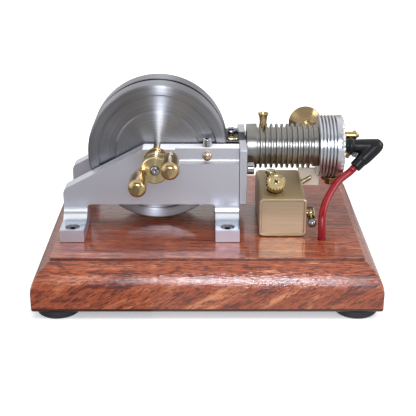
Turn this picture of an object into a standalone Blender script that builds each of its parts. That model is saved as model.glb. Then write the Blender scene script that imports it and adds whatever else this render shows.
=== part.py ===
"""Model petrol engine: horizontal, air cooled, one cylinder, two flywheels, on a wooden base.

Sizes are in millimetres and become metres when a mesh is made. X runs along the cylinder
towards the head, Y runs away from the viewer and Z is up. The origin is the middle of the
base's footprint, on the surface that the rubber feet stand on.
"""

import math

import bmesh
import bpy
from mathutils import Vector

for old in list(bpy.data.objects):
    bpy.data.objects.remove(old, do_unlink=True)

MM = 0.001
X, Y, Z = Vector((1, 0, 0)), Vector((0, 1, 0)), Vector((0, 0, 1))

# Clearances between pieces that touch on the real engine
GAP = 0.3
RUNNING = 1.25

# Wooden base and rubber feet
BASE_LONG, BASE_DEEP, BASE_THICK = 190.0, 150.0, 27.5
BEVEL_WIDE, BEVEL_HIGH = 10.0, 11.0
FOOT_HIGH, FOOT_RADIUS, FOOT_INSET_X, FOOT_INSET_Y = 4.5, 12.0, 13.5, 12.0
DECK = FOOT_HIGH + BASE_THICK

# Crank line
AXIS_Z = DECK + 42.0
CRANK_X = -28.4
THROW = 9.0
ROD_LONG = 67.4
JOURNAL = 4.0
STUB = 2.5

# Flywheels
WHEEL_RADIUS, RIM_WIDE, RING_RADIUS = 39.9, 5.7, 24.4
PACK_HALF, SLOT_HALF, DISH = 13.75, 1.7, 2.2
POCKET_RADIUS, FACE_STEP = 22.5, 1.0

# Side frames
FRAME_LEFT, FRAME_RIGHT = -82.0, 18.0
FRAME_IN = PACK_HALF + RUNNING
FRAME_THICK = 10.0
FRAME_OUT = FRAME_IN + FRAME_THICK
FRAME_TOP = AXIS_Z + 6.0
FRAME_SHOULDER = DECK + 25.5
SLOPE_END = -36.0
ARCH_HIGH = 15.0
PAD_WIDE, PAD_DEEP, PAD_HIGH, COVE = 13.4, 12.5, 7.4, 7.5
PAD_OUT = FRAME_OUT + COVE + PAD_DEEP
LEDGE_DEEP, LEDGE_START = 2.2, -18.0
SCREW_HEAD, SCREW_SHANK = 3.5, 2.0
COUNTERBORE = 4.0
OIL_HOLE, OIL_DEEP = 1.0, 4.0

# End plate, cylinder and head
PLATE_THICK, PLATE_UP = 4.1, 14.0
PLATE_X = FRAME_RIGHT + GAP
BARREL_X = PLATE_X + PLATE_THICK + GAP
FLANGE_THICK, FIN_RADIUS, ROOT_RADIUS = 6.0, 13.0, 10.8
FIN_COUNT, FIN_PITCH, FIN_THICK = 10, 3.1, 1.5
COLLAR_LONG = 2.8
CUP_X = BARREL_X + 9.6
BARREL_LONG = FLANGE_THICK + 1.6 + FIN_COUNT * FIN_PITCH + COLLAR_LONG
HEAD_X = BARREL_X + BARREL_LONG + GAP
HEAD_RADIUS, HEAD_ROOT, HEAD_FINS, HEAD_FIN, HEAD_PITCH, HEAD_CAP = 18.0, 14.0, 5, 0.9, 1.95, 4.45
HEAD_LONG = HEAD_FINS * HEAD_PITCH + HEAD_CAP
HEAD_END = HEAD_X + HEAD_LONG
BORE = 9.0

# Piston
PISTON_LONG, PISTON_CROWN, PISTON_WALL = 16.0, 4.0, 2.2
WRIST_X = CRANK_X + THROW + ROD_LONG
PISTON_X = WRIST_X - 6.0
WRIST_RADIUS = 2.0

# Valves, timing gears and push rod
MODULE = 0.8
PINION_TEETH, CAM_TEETH = 15, 30
GEAR_WIDE, MESH_SLACK = 4.0, 0.12
GEAR_Y = FRAME_OUT + 2.3
VALVE_DROP, VALVE_BACK, VALVE_HEAD, VALVE_STEM = 5.6, 2.6, 2.4, 1.2
INLET_UP, INLET_BACK = 5.4, 2.8
CAM_BASE, CAM_LIFT, CAM_WIDE = 5.0, 2.0, 5.0
ROD_Y = GEAR_Y + GEAR_WIDE + CAM_WIDE / 2
ROD_RADIUS = 1.5
ROCKER_X = HEAD_END + 9.0
ROCKER_HALF = 2.0
PLUG_Y, PLUG_UP = -4.6, 1.2

# Starter
KNOB_RADIUS, KNOB_LONG, KNOB_ARM, KNOB_TILT = 5.0, 17.0, 10.0, math.radians(29)
HUB_RADIUS, HUB_FACE = 7.75, 18.5

# Fuel tank
TANK_X, TANK_WIDE, TANK_HIGH, TANK_CORNER = 42.4, 26.6, 22.4, 2.4
TANK_FRONT, TANK_BACK, TANK_RIM = -36.5, 12.0, 1.5
NECK_X, NECK_Y, NECK_TILT = 38.6, -22.0, math.radians(42)
CAP_RADIUS, CAP_THICK, NECK_LONG = 5.7, 3.4, 7.2
TAP_Z, TAP_TILT = DECK + 11.0, math.radians(16)
LUG_LONG, LUG_HIGH, LUG_UP, LUG_THICK = 11.7, 10.9, 13.5, 2.0
OUTLET_TILT = math.radians(31)

# Ignition lead
LEAD_RADIUS = 2.2
LEAD_HOLE, HOLE_DEEP = Vector((64.3, -40.0, DECK)), 6.0
SMOOTH_ANGLE = math.radians(32)

COLOURS = {
    "wood": ((0.36, 0.13, 0.07), 0.0, 0.35),
    "rubber": ((0.02, 0.02, 0.02), 0.0, 0.7),
    "frame": ((0.55, 0.56, 0.58), 1.0, 0.5),
    "bright": ((0.72, 0.72, 0.74), 1.0, 0.22),
    "steel": ((0.45, 0.44, 0.43), 1.0, 0.28),
    "brass": ((0.72, 0.48, 0.18), 1.0, 0.27),
    "boot": ((0.025, 0.025, 0.027), 0.0, 0.55),
    "lead": ((0.55, 0.03, 0.025), 0.0, 0.4),
}


def material(slot):
    """The Principled material of a slot, made once."""
    found = bpy.data.materials.get(slot)
    if found:
        return found
    colour, metallic, roughness = COLOURS[slot]
    made = bpy.data.materials.new(slot)
    made.use_nodes = True
    shader = made.node_tree.nodes["Principled BSDF"]
    shader.inputs["Base Color"].default_value = (*colour, 1)
    shader.inputs["Metallic"].default_value = metallic
    shader.inputs["Roughness"].default_value = roughness
    made.diffuse_color = (*colour, 1)
    return made


def body(name, at):
    """An empty on a joint's axis, which carries the pieces that move together."""
    empty = bpy.data.objects.new(name, None)
    empty.location = Vector(at) * MM
    bpy.context.collection.objects.link(empty)
    return empty


def add(name, bm, at, slot, parent=None):
    """Link a mesh as an object at a place, or as a hidden cutter when it has no slot."""
    bmesh.ops.recalc_face_normals(bm, faces=bm.faces)
    bmesh.ops.scale(bm, vec=(MM, MM, MM), verts=bm.verts)
    mesh = bpy.data.meshes.new(name)
    bm.to_mesh(mesh)
    bm.free()
    mesh.shade_smooth()
    mesh.set_sharp_from_angle(angle=SMOOTH_ANGLE)
    piece = bpy.data.objects.new(name, mesh)
    piece.location = Vector(at) * MM
    bpy.context.collection.objects.link(piece)
    if parent:
        piece.parent = parent
        piece.location -= parent.location
    if slot:
        mesh.materials.append(material(slot))
    else:
        piece.hide_render = True
        piece.display_type = "WIRE"
    return piece


def turned(name, profile, at, axis, slot, segments=32, parent=None):
    """Turn (radius, along) points about an axis.

    A profile that starts and ends on the axis is solid. Any other is closed into a ring.
    """
    turn = Z.rotation_difference(axis)
    bm = bmesh.new()
    rings = []
    for radius, along in profile:
        count = segments if radius else 1
        angles = [2 * math.pi * k / count for k in range(count)]
        points = [Vector((radius * math.cos(a), radius * math.sin(a), along)) for a in angles]
        rings.append([bm.verts.new(turn @ p) for p in points])
    pairs = list(zip(rings, rings[1:]))
    if profile[0][0]:
        pairs.append((rings[-1], rings[0]))
    for one, two in pairs:
        for k in range(segments):
            n = (k + 1) % segments
            corners = [one[k % len(one)], one[n % len(one)], two[n % len(two)], two[k % len(two)]]
            bm.faces.new(dict.fromkeys(corners))
    return add(name, bm, at, slot, parent)


def prism(name, outline, low, high, at, axis, slot, parent=None):
    """Push a flat outline along an axis.

    The outline is in (X, Z) along Y, in (Y, Z) along X and in (X, Y) along Z.
    """
    place = {
        "X": lambda u, v, w: (w, u, v),
        "Y": lambda u, v, w: (u, w, v),
        "Z": lambda u, v, w: (u, v, w),
    }[axis]
    bm = bmesh.new()
    ends = [[bm.verts.new(place(u, v, w)) for u, v in outline] for w in (low, high)]
    bm.faces.new(ends[0])
    bm.faces.new(ends[1])
    for k in range(len(outline)):
        n = (k + 1) % len(outline)
        bm.faces.new((ends[0][k], ends[0][n], ends[1][n], ends[1][k]))
    return add(name, bm, at, slot, parent)


def combine(piece, operation, *others):
    """Cut with, or join to, hidden solids."""
    for other in others:
        change = piece.modifiers.new(other.name, "BOOLEAN")
        change.operation = operation
        change.object = other
    return piece


def rod(radius, low, high):
    """The profile of a plain solid rod."""
    return [(0, low), (radius, low), (radius, high), (0, high)]


def tube(inner, outer, low, high):
    """The profile of a plain ring."""
    return [(inner, low), (outer, low), (outer, high), (inner, high)]


def arc(centre, radius, start, end, steps):
    """Points along an arc, with angles in degrees."""
    sweep = [math.radians(start + (end - start) * k / steps) for k in range(steps + 1)]
    return [(centre[0] + radius * math.cos(a), centre[1] + radius * math.sin(a)) for a in sweep]


def round_box(wide, high, corner, steps=4):
    """A rectangle with round corners, about the origin."""
    w, h = wide / 2 - corner, high / 2 - corner
    corners = ((w, h, 0), (-w, h, 90), (-w, -h, 180), (w, -h, 270))
    return [p for x, y, a in corners for p in arc((x, y), corner, a, a + 90, steps)]


def hidden_rod(name, radius, low, high, at, axis, segments=16):
    """A round cutter."""
    return turned(name, rod(radius, low, high), at, axis, None, segments)


def make_base():
    """A plank with a sloped upper edge and a rounded lower step, on four rubber feet."""
    bm = bmesh.new()
    wall = BASE_THICK - BEVEL_HIGH
    ease = 2.0
    levels = (
        (0.0, 1.2), (1.2, 0.0), (wall - ease, 0.0), (wall, 0.35), (wall + ease, 1.5),
        (BASE_THICK, BEVEL_WIDE),
    )
    corners = ((1, 1), (-1, 1), (-1, -1), (1, -1))
    rings = []
    for up, inset in levels:
        x, y = BASE_LONG / 2 - inset, BASE_DEEP / 2 - inset
        rings.append([bm.verts.new((sx * x, sy * y, up)) for sx, sy in corners])
    for one, two in zip(rings, rings[1:]):
        for k in range(4):
            n = (k + 1) % 4
            bm.faces.new((one[k], one[n], two[n], two[k]))
    bm.faces.new(rings[0])
    bm.faces.new(rings[-1])
    base = add("base_plinth", bm, (0, 0, FOOT_HIGH), "wood")
    lead_hole = hidden_rod("lead_hole", LEAD_RADIUS + GAP, -HOLE_DEEP, 1.0, LEAD_HOLE, Z)
    combine(base, "DIFFERENCE", lead_hole)
    foot = [
        (0, 1.5), (3.2, 1.5), (3.2, 0), (FOOT_RADIUS - 0.8, 0), (FOOT_RADIUS, 0.8),
        (FOOT_RADIUS - 0.4, FOOT_HIGH - GAP), (0, FOOT_HIGH - GAP),
    ]
    x, y = BASE_LONG / 2 - FOOT_INSET_X, BASE_DEEP / 2 - FOOT_INSET_Y
    for number, (sx, sy) in enumerate(((-1, -1), (1, -1), (-1, 1), (1, 1)), 1):
        turned(f"rubber_foot_{number}", foot, (sx * x, sy * y, 0), Z, "rubber", 20)


def make_frame(name, side):
    """A cast side plate with an arch, two pads on swept coves, and a ledge towards the cylinder."""
    shoulder = 4.0
    slope = math.degrees(math.atan2(FRAME_TOP - FRAME_SHOULDER, SLOPE_END - FRAME_LEFT))
    foot = DECK + GAP
    outline = [
        (FRAME_LEFT, foot),
        (FRAME_LEFT + PAD_WIDE, foot),
        *arc((FRAME_LEFT + PAD_WIDE + 2, DECK + ARCH_HIGH - 2), 2, 180, 90, 3),
        *arc((FRAME_RIGHT - PAD_WIDE - 2, DECK + ARCH_HIGH - 2), 2, 90, 0, 3),
        (FRAME_RIGHT - PAD_WIDE, foot),
        (FRAME_RIGHT, foot),
        (FRAME_RIGHT, FRAME_TOP),
        (SLOPE_END, FRAME_TOP),
        *arc((FRAME_LEFT + shoulder, FRAME_SHOULDER - shoulder), shoulder, 90 + slope, 180, 4),
    ]
    low, high = sorted((side * FRAME_IN, side * FRAME_OUT))
    frame = prism(name, outline, low, high, (0, 0, 0), "Y", "frame")
    pad = [
        (FRAME_OUT - 1, foot),
        (PAD_OUT, foot),
        (PAD_OUT, DECK + PAD_HIGH),
        *arc((FRAME_OUT + COVE, DECK + PAD_HIGH + COVE), COVE, 270, 180, 6),
        (FRAME_OUT - 1, DECK + PAD_HIGH + COVE),
    ]
    pad = [(side * y, z) for y, z in pad]
    for number, start in enumerate((FRAME_LEFT, FRAME_RIGHT - PAD_WIDE), 1):
        block = prism(f"{name}_pad_{number}", pad, start, start + PAD_WIDE, (0, 0, 0), "X", None)
        combine(frame, "UNION", block)
    for number, start in enumerate((FRAME_LEFT, FRAME_RIGHT - PAD_WIDE), 1):
        at = (start + PAD_WIDE / 2, side * (PAD_OUT - COUNTERBORE - 1.1), DECK)
        hole = [
            (0, -1), (SCREW_SHANK + GAP, -1), (SCREW_SHANK + GAP, PAD_HIGH - 4.4),
            (COUNTERBORE, PAD_HIGH - 4.4), (COUNTERBORE, PAD_HIGH + 5), (0, PAD_HIGH + 5),
        ]
        combine(frame, "DIFFERENCE", turned(f"{name}_hole_{number}", hole, at, Z, None, 20))
        screw = [
            (0, GAP), (SCREW_SHANK, GAP), (SCREW_SHANK, PAD_HIGH - 4.1),
            (SCREW_HEAD, PAD_HIGH - 4.1), (SCREW_HEAD, PAD_HIGH - 0.5),
            (SCREW_HEAD - 0.4, PAD_HIGH - 0.1), (0, PAD_HIGH - 0.1),
        ]
        bolt = turned(f"{name}_screw_{number}", screw, at, Z, "steel", 14)
        combine(bolt, "DIFFERENCE", hex_socket(f"{name}_key_{number}", 1.5, at, PAD_HIGH - 2.1, "Z"))
    ledge = [
        (FRAME_OUT + 1, AXIS_Z + 0.4),
        (FRAME_OUT - LEDGE_DEEP + 1.6, AXIS_Z + 0.4),
        *arc((FRAME_OUT - LEDGE_DEEP + 1.6, AXIS_Z + 2.0), 1.6, 270, 180, 4),
        (FRAME_OUT - LEDGE_DEEP, FRAME_TOP + 1),
        (FRAME_OUT + 1, FRAME_TOP + 1),
    ]
    ledge = [(side * y, z) for y, z in ledge]
    cove = prism(f"{name}_ledge", ledge, LEDGE_START, FRAME_RIGHT + 1, (0, 0, 0), "X", None)
    bore = hidden_rod(f"{name}_bore", JOURNAL + 2 + GAP, -30, 30, (CRANK_X, 0, AXIS_Z), Y, 20)
    combine(frame, "DIFFERENCE", cove, bore)
    bush = [
        (JOURNAL + GAP, FRAME_IN + 0.5), (JOURNAL + 2, FRAME_IN + 0.5),
        (JOURNAL + 2, FRAME_OUT + GAP), (JOURNAL + 3.2, FRAME_OUT + GAP),
        (JOURNAL + 3.2, FRAME_OUT + 1.9), (JOURNAL + GAP, FRAME_OUT + 1.9),
    ]
    turned(name.replace("frame", "bush"), bush, (CRANK_X, 0, AXIS_Z), side * Y, "brass", 20)
    return frame


def hex_socket(name, half, at, start, axis):
    """A six-sided key hole for a cap screw's head."""
    outline = [(half * 1.155 * math.cos(a), half * 1.155 * math.sin(a)) for a in
               [math.pi * k / 3 for k in range(6)]]
    return prism(name, outline, start, start + 8, at, axis, None)


def make_frames():
    """Both side frames, with the stops and screws on their tops."""
    near = make_frame("frame_near", -1)
    far = make_frame("frame_far", 1)
    oil_at = (CRANK_X, -FRAME_IN - FRAME_THICK / 2, FRAME_TOP)
    oil = hidden_rod("oil_hole", OIL_HOLE, -OIL_DEEP, OIL_DEEP, oil_at, Z, 16)
    combine(near, "DIFFERENCE", oil)
    cap = [
        (0, GAP), (2.75, GAP), (2.75, 4.1), (2.4, 4.4), (0, 4.4),
    ]
    y = FRAME_IN + (FRAME_THICK - LEDGE_DEEP) / 2
    for number, side in enumerate((-1, 1), 1):
        at = (0, side * y, FRAME_TOP)
        bolt = turned(f"frame_top_screw_{number}", cap, at, Z, "steel", 14)
        combine(bolt, "DIFFERENCE", hex_socket(f"top_key_{number}", 1.25, at, 2.8, "Z"))
    plug = [(0, GAP), (2.4, GAP), (2.4, 1.2), (1.8, 2.0), (0, 2.5)]
    turned("oil_plug", plug, (0, -FRAME_OUT + LEDGE_DEEP, AXIS_Z + 3.9), -Y, "brass", 16)
    post_hole = hidden_rod("cam_post_hole", STUB + GAP, FRAME_IN - 1, FRAME_OUT + 1, cam_place(), Y)
    combine(far, "DIFFERENCE", post_hole)


def cam_place():
    """The cam gear's centre, a mesh distance from the crank and level with the exhaust valve."""
    reach = MODULE * (PINION_TEETH + CAM_TEETH) / 2 + MESH_SLACK
    return Vector((CRANK_X + math.sqrt(reach**2 - VALVE_DROP**2), 0, AXIS_Z - VALVE_DROP))


def make_end_plate():
    """The plate that carries the cylinder across the frames, held by a cap screw at each side."""
    high = FRAME_TOP - DECK - PLATE_UP
    corners = round_box(2 * FRAME_OUT, high, 1.5)
    centre = FRAME_TOP - high / 2
    outline = [(y, centre + z) for y, z in corners]
    plate = prism("end_plate", outline, PLATE_X, PLATE_X + PLATE_THICK, (0, 0, 0), "X", "bright")
    window = hidden_rod("plate_window", BORE + 0.8, PLATE_X - 1, PLATE_X + 6, (0, 0, AXIS_Z), X, 28)
    combine(plate, "DIFFERENCE", window)
    y = FRAME_IN + FRAME_THICK / 2
    for number, side in enumerate((-1, 1), 1):
        at = (PLATE_X, side * y, AXIS_Z - 7)
        hole = hidden_rod(f"plate_hole_{number}", SCREW_SHANK + GAP, -1, 6, at, X, 12)
        combine(plate, "DIFFERENCE", hole)
        screw = [
            (0, 0), (SCREW_SHANK, 0), (SCREW_SHANK, PLATE_THICK + GAP),
            (SCREW_HEAD, PLATE_THICK + GAP), (SCREW_HEAD, PLATE_THICK + 3.8),
            (SCREW_HEAD - 0.4, PLATE_THICK + 4.2), (0, PLATE_THICK + 4.2),
        ]
        bolt = turned(f"end_plate_screw_{number}", screw, at, X, "steel", 14)
        key = hex_socket(f"plate_key_{number}", 1.5, at, PLATE_THICK + 2.2, "X")
        combine(bolt, "DIFFERENCE", key)


def make_cylinder():
    """A finned barrel with a through bore, and a deeper finned head with a cupped chamber."""
    line = (0, 0, AXIS_Z)
    profile = [(BORE, 0), (FIN_RADIUS, 0), (FIN_RADIUS, FLANGE_THICK), (ROOT_RADIUS, FLANGE_THICK)]
    start = FLANGE_THICK + 1.6
    for k in range(FIN_COUNT):
        low = start + k * FIN_PITCH
        profile += [
            (ROOT_RADIUS, low), (FIN_RADIUS, low + 0.2), (FIN_RADIUS, low + FIN_THICK - 0.2),
            (ROOT_RADIUS, low + FIN_THICK),
        ]
    profile += [
        (ROOT_RADIUS, BARREL_LONG - COLLAR_LONG), (FIN_RADIUS - 0.8, BARREL_LONG - COLLAR_LONG),
        (FIN_RADIUS - 0.8, BARREL_LONG), (BORE, BARREL_LONG),
    ]
    profile = [(r, BARREL_X + a) for r, a in profile]
    barrel = turned("cylinder_barrel", profile, line, X, "steel", 20)
    cup_hole = hidden_rod("oil_cup_hole", 2.1 + GAP, BORE + 0.6, 30, (CUP_X, 0, AXIS_Z), Z, 16)
    combine(barrel, "DIFFERENCE", cup_hole)
    cup = [
        (0, ROOT_RADIUS), (2.1, ROOT_RADIUS), (2.3, FIN_RADIUS + 3.5), (3.1, FIN_RADIUS + 6.4),
        (3.1, FIN_RADIUS + 6.9), (2.6, FIN_RADIUS + 6.9), (1.7, FIN_RADIUS + 3.4),
        (0, FIN_RADIUS + 3.4),
    ]
    turned("oil_cup", cup, (CUP_X, 0, AXIS_Z), Z, "brass", 16)
    profile = [(0, 1.2), (BORE, 1.2), (BORE, 0)]
    for k in range(HEAD_FINS):
        low = k * HEAD_PITCH
        profile += [
            (HEAD_RADIUS, low), (HEAD_RADIUS, low + HEAD_FIN), (HEAD_ROOT, low + HEAD_FIN),
            (HEAD_ROOT, low + HEAD_PITCH),
        ]
    low = HEAD_FINS * HEAD_PITCH
    profile += [
        (HEAD_RADIUS, low), (HEAD_RADIUS, HEAD_LONG - 1.0), (HEAD_RADIUS - 0.8, HEAD_LONG), (0, HEAD_LONG),
    ]
    profile = [(r, HEAD_X + a) for r, a in profile]
    head = turned("cylinder_head", profile, line, X, "bright", 24)
    for name, y, z, radius in (
        ("exhaust_guide", VALVE_BACK, -VALVE_DROP, VALVE_STEM),
        ("inlet_guide", INLET_BACK, INLET_UP, VALVE_STEM),
        ("plug_seat", PLUG_Y, PLUG_UP, 3.2),
    ):
        hole = hidden_rod(name, radius + GAP, HEAD_X - 1, HEAD_END + 2, (0, y, AXIS_Z + z), X)
        combine(head, "DIFFERENCE", hole)


def make_ignition():
    """Spark plug, elbow boot and the lead that runs down into the base."""
    line = (0, PLUG_Y, AXIS_Z + PLUG_UP)
    plug = [
        (0, HEAD_X + 1.5), (3.0, HEAD_X + 1.5), (3.0, HEAD_END + GAP), (3.9, HEAD_END + GAP),
        (3.9, HEAD_END + 1.4), (2.5, HEAD_END + 1.8), (2.1, HEAD_END + 11), (0, HEAD_END + 11),
    ]
    turned("spark_plug", plug, line, X, "steel", 16)
    elbow = Vector((HEAD_END + 19.7, PLUG_Y - 0.5, AXIS_Z + 1.8))
    arm = [
        (0, HEAD_END + 2.1), (4.2, HEAD_END + 2.1), (4.2, HEAD_END + 3.2), (5.1, HEAD_END + 3.6),
        (5.1, HEAD_END + 5.6), (4.1, HEAD_END + 6.2), (4.1, HEAD_END + 20.0), (3.2, HEAD_END + 22.6),
        (0, HEAD_END + 23.4),
    ]
    boot = turned("plug_boot", arm, line, X, "boot", 18)
    along = boot_exit() - elbow
    reach = along.length
    barrel = [
        (0, -3.4), (2.8, -2.6), (4.0, 0), (4.2, 3), (4.1, reach * 0.6), (3.6, reach * 0.68),
        (3.5, reach), (0, reach),
    ]
    combine(boot, "UNION", turned("boot_barrel", barrel, elbow, along.normalized(), None, 18))
    socket = hidden_rod("boot_socket", 2.5 + GAP, HEAD_END + 1, HEAD_END + 11.6, line, X)
    combine(boot, "DIFFERENCE", socket)
    make_lead(along.normalized())


def boot_exit():
    """Where the lead leaves the boot's lower barrel."""
    return Vector((HEAD_END + 6.8, PLUG_Y - 5.4, AXIS_Z - 9.8))


def lead_points(leave):
    """A smooth curve through the lead's own points, from the boot to below the deck."""
    start = boot_exit() + leave * GAP
    route = [
        start - leave * 4, start, start + leave * 1.5, start + leave * 4,
        Vector((75.0, -18.0, DECK + 26.1)),
        Vector((68.0, -28.5, DECK + 20.0)),
        Vector((64.6, -36.0, DECK + 13.1)),
        LEAD_HOLE + Vector((0, 0, 3.0)),
        LEAD_HOLE - Vector((0, 0, 5.0)),
        LEAD_HOLE - Vector((0, 0, 12.0)),
    ]
    points = []
    for a, b, c, d in zip(route, route[1:], route[2:], route[3:]):
        for k in range(3):
            t = k / 3
            points.append(
                0.5 * (2 * b + (c - a) * t + (2 * a - 5 * b + 4 * c - d) * t**2
                       + (3 * b - a - 3 * c + d) * t**3)
            )
    return points + [route[-2]]


def make_lead(leave):
    """The high-tension lead as a round tube."""
    points = lead_points(leave)
    curve = bpy.data.curves.new("ignition_lead", "CURVE")
    curve.dimensions = "3D"
    curve.bevel_depth = LEAD_RADIUS * MM
    curve.bevel_resolution = 3
    curve.use_fill_caps = True
    spline = curve.splines.new("POLY")
    spline.points.add(len(points) - 1)
    for slot, place in zip(spline.points, points):
        slot.co = (*(place * MM), 1)
    lead = bpy.data.objects.new("ignition_lead", curve)
    curve.materials.append(material("lead"))
    bpy.context.collection.objects.link(lead)


def make_crank():
    """Two dished flywheels on half shafts, with the starter hub and the timing pinion."""
    axis = Vector((CRANK_X, 0, AXIS_Z))
    crank = body("crank_axis", axis)
    rim = WHEEL_RADIUS - RIM_WIDE
    wheel = [
        (JOURNAL + GAP, SLOT_HALF + DISH), (POCKET_RADIUS, SLOT_HALF + DISH), (POCKET_RADIUS, SLOT_HALF),
        (WHEEL_RADIUS - 0.6, SLOT_HALF), (WHEEL_RADIUS, SLOT_HALF + 0.6),
        (WHEEL_RADIUS, PACK_HALF - 0.8), (WHEEL_RADIUS - 0.8, PACK_HALF), (rim, PACK_HALF),
        (rim - 0.6, PACK_HALF - FACE_STEP), (RING_RADIUS, PACK_HALF - FACE_STEP),
        (RING_RADIUS - 0.6, PACK_HALF - 0.3), (JOURNAL + GAP, PACK_HALF - 0.3),
    ]
    inner = SLOT_HALF + DISH
    near = [
        (0, inner), (JOURNAL, inner), (JOURNAL, FRAME_OUT + 3.6), (STUB, FRAME_OUT + 3.6),
        (STUB, FRAME_OUT + HUB_FACE + 0.6), (STUB - 0.5, FRAME_OUT + HUB_FACE + 1.1),
        (0, FRAME_OUT + HUB_FACE + 1.1),
    ]
    far = [
        (0, inner), (JOURNAL, inner), (JOURNAL, FRAME_OUT + 2.0), (STUB, FRAME_OUT + 2.0),
        (STUB, GEAR_Y + GEAR_WIDE + 1.4), (0, GEAR_Y + GEAR_WIDE + 1.4),
    ]
    for name, side, shaft in (("near", -1, near), ("far", 1, far)):
        turned(f"flywheel_{name}", wheel, axis, side * Y, "bright", 40, crank)
        turned(f"shaft_{name}", shaft, axis, side * Y, "steel", 16, crank)
    washer = tube(JOURNAL + GAP, 6.2, FRAME_OUT + 2.2, FRAME_OUT + 3.4)
    turned("hub_washer", washer, axis, -Y, "bright", 20, crank)
    make_starter(axis, crank)
    pinion = gear("crank_pinion", PINION_TEETH, mesh_angle(), axis, "steel", crank)
    bore = hidden_rod("pinion_bore", STUB + GAP, GEAR_Y - 1, GEAR_Y + GEAR_WIDE + 1, axis, Y)
    combine(pinion, "DIFFERENCE", bore)


def make_starter(axis, crank):
    """A hub with two lugs, and the two knobs that a hand turns the engine with."""
    back, plate, face = FRAME_OUT + 3.9, FRAME_OUT + HUB_FACE - 6.0, FRAME_OUT + HUB_FACE
    profile = [
        (STUB + GAP, back), (6.4, back), (6.4, back + 2.4), (5.0, back + 3.0), (5.0, plate),
        (HUB_RADIUS, plate), (HUB_RADIUS, face - 0.6), (HUB_RADIUS - 0.6, face), (STUB + GAP, face),
    ]
    hub = turned("starter_hub", profile, axis, -Y, "brass", 24, crank)
    along = Vector((math.cos(KNOB_TILT), 0, math.sin(KNOB_TILT)))
    tilt = math.degrees(KNOB_TILT)
    bar = KNOB_RADIUS - 1.0
    ends = arc((KNOB_ARM, 0), bar, -90, 90, 6), arc((-KNOB_ARM, 0), bar, 90, 270, 6)
    turn_x, turn_z = math.cos(KNOB_TILT), math.sin(KNOB_TILT)
    outline = [(x * turn_x - z * turn_z, x * turn_z + z * turn_x) for end in ends for x, z in end]
    arms = prism("starter_arms", outline, -face + 1.2, -plate - 0.8, axis, "Y", None)
    hole = hidden_rod("hub_bore", STUB + GAP, face - 30, face + 2, axis, -Y)
    combine(hub, "UNION", arms)
    combine(hub, "DIFFERENCE", hole)
    low = face + GAP
    knob = [(0, low), (KNOB_RADIUS, low), (KNOB_RADIUS, low + KNOB_LONG - 2.6)]
    knob += [
        (KNOB_RADIUS - 2.6 + 2.6 * math.cos(a), low + KNOB_LONG - 2.6 + 2.6 * math.sin(a))
        for a in (math.pi / 6, math.pi / 3)
    ]
    knob += [(KNOB_RADIUS - 2.6, low + KNOB_LONG), (0, low + KNOB_LONG)]
    for number, sign in enumerate((-1, 1), 1):
        turned(f"starter_knob_{number}", knob, axis + along * KNOB_ARM * sign, -Y, "brass", 20, crank)


def mesh_angle():
    """The direction from the crank to the cam gear, in the X and Z plane."""
    place = cam_place()
    return math.atan2(place.z - AXIS_Z, place.x - CRANK_X)


def gear(name, teeth, tooth_at, at, slot, parent):
    """A spur gear with involute flanks and one tooth centred on an angle."""
    pitch = MODULE * teeth / 2
    base = pitch * math.cos(math.radians(20))
    tip, root = pitch + 0.8 * MODULE, pitch - 1.2 * MODULE
    rolled = math.tan(math.radians(20)) - math.radians(20)

    def half_width(radius):
        spread = math.acos(min(1.0, base / radius))
        return 0.92 * math.pi / (2 * teeth) + rolled - (math.tan(spread) - spread)

    radii = (root, pitch - 0.1, tip)
    outline = []
    for k in range(teeth):
        middle = tooth_at + 2 * math.pi * k / teeth
        flank = [(r, half_width(r)) for r in radii]
        for r, w in flank + flank[::-1]:
            angle = middle - w if len(outline) % 6 < 3 else middle + w
            outline.append((r * math.cos(angle), r * math.sin(angle)))
    return prism(name, outline, GEAR_Y, GEAR_Y + GEAR_WIDE, at, "Y", slot, parent)


def make_piston():
    """A trunk piston on its pin, and the connecting rod that hangs on it."""
    slide = body("piston_slide", (WRIST_X, 0, AXIS_Z))
    r = BORE - GAP
    low, high = PISTON_X - WRIST_X, PISTON_X - WRIST_X + PISTON_LONG
    profile = [
        (0, high - PISTON_CROWN), (r - PISTON_WALL, high - PISTON_CROWN), (r - PISTON_WALL, low),
        (r, low), (r, high - 3.0), (r - 0.7, high - 3.0), (r - 0.7, high - 1.6), (r, high - 1.6),
        (r, high), (0, high),
    ]
    at = (WRIST_X, 0, AXIS_Z)
    piston = turned("piston", profile, at, X, "bright", 20, slide)
    combine(piston, "DIFFERENCE", hidden_rod("wrist_hole", WRIST_RADIUS + GAP, -12, 12, at, Y, 20))
    turned("wrist_pin", rod(WRIST_RADIUS, -r + 1.2, r - 1.2), at, Y, "steel", 20, slide)
    swing = body("rod_swing", at)
    pin_x = CRANK_X + THROW - WRIST_X
    half, height = SLOT_HALF - 0.4, 2.6
    shank = [(pin_x, -height - 0.8), (0, -height), (0, height), (pin_x, height + 0.8)]
    con_rod = prism("con_rod", shank, -half, half, at, "Y", "steel", swing)
    eye = SLOT_HALF + DISH - 0.6
    pin_at = Vector(at) + X * pin_x
    combine(
        con_rod, "UNION", hidden_rod("big_eye", 5.6, -eye, eye, pin_at, Y, 18),
        hidden_rod("small_eye", 4.2, -eye, eye, at, Y, 16),
    )
    combine(
        con_rod, "DIFFERENCE", hidden_rod("big_hole", 2.5 + GAP, -9, 9, pin_at, Y),
        hidden_rod("small_hole", WRIST_RADIUS + GAP, -9, 9, at, Y, 20),
    )
    pin = rod(2.5, -SLOT_HALF - DISH + GAP, SLOT_HALF + DISH - GAP)
    turned("crank_pin", pin, pin_at, Y, "steel", 20, swing)


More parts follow.
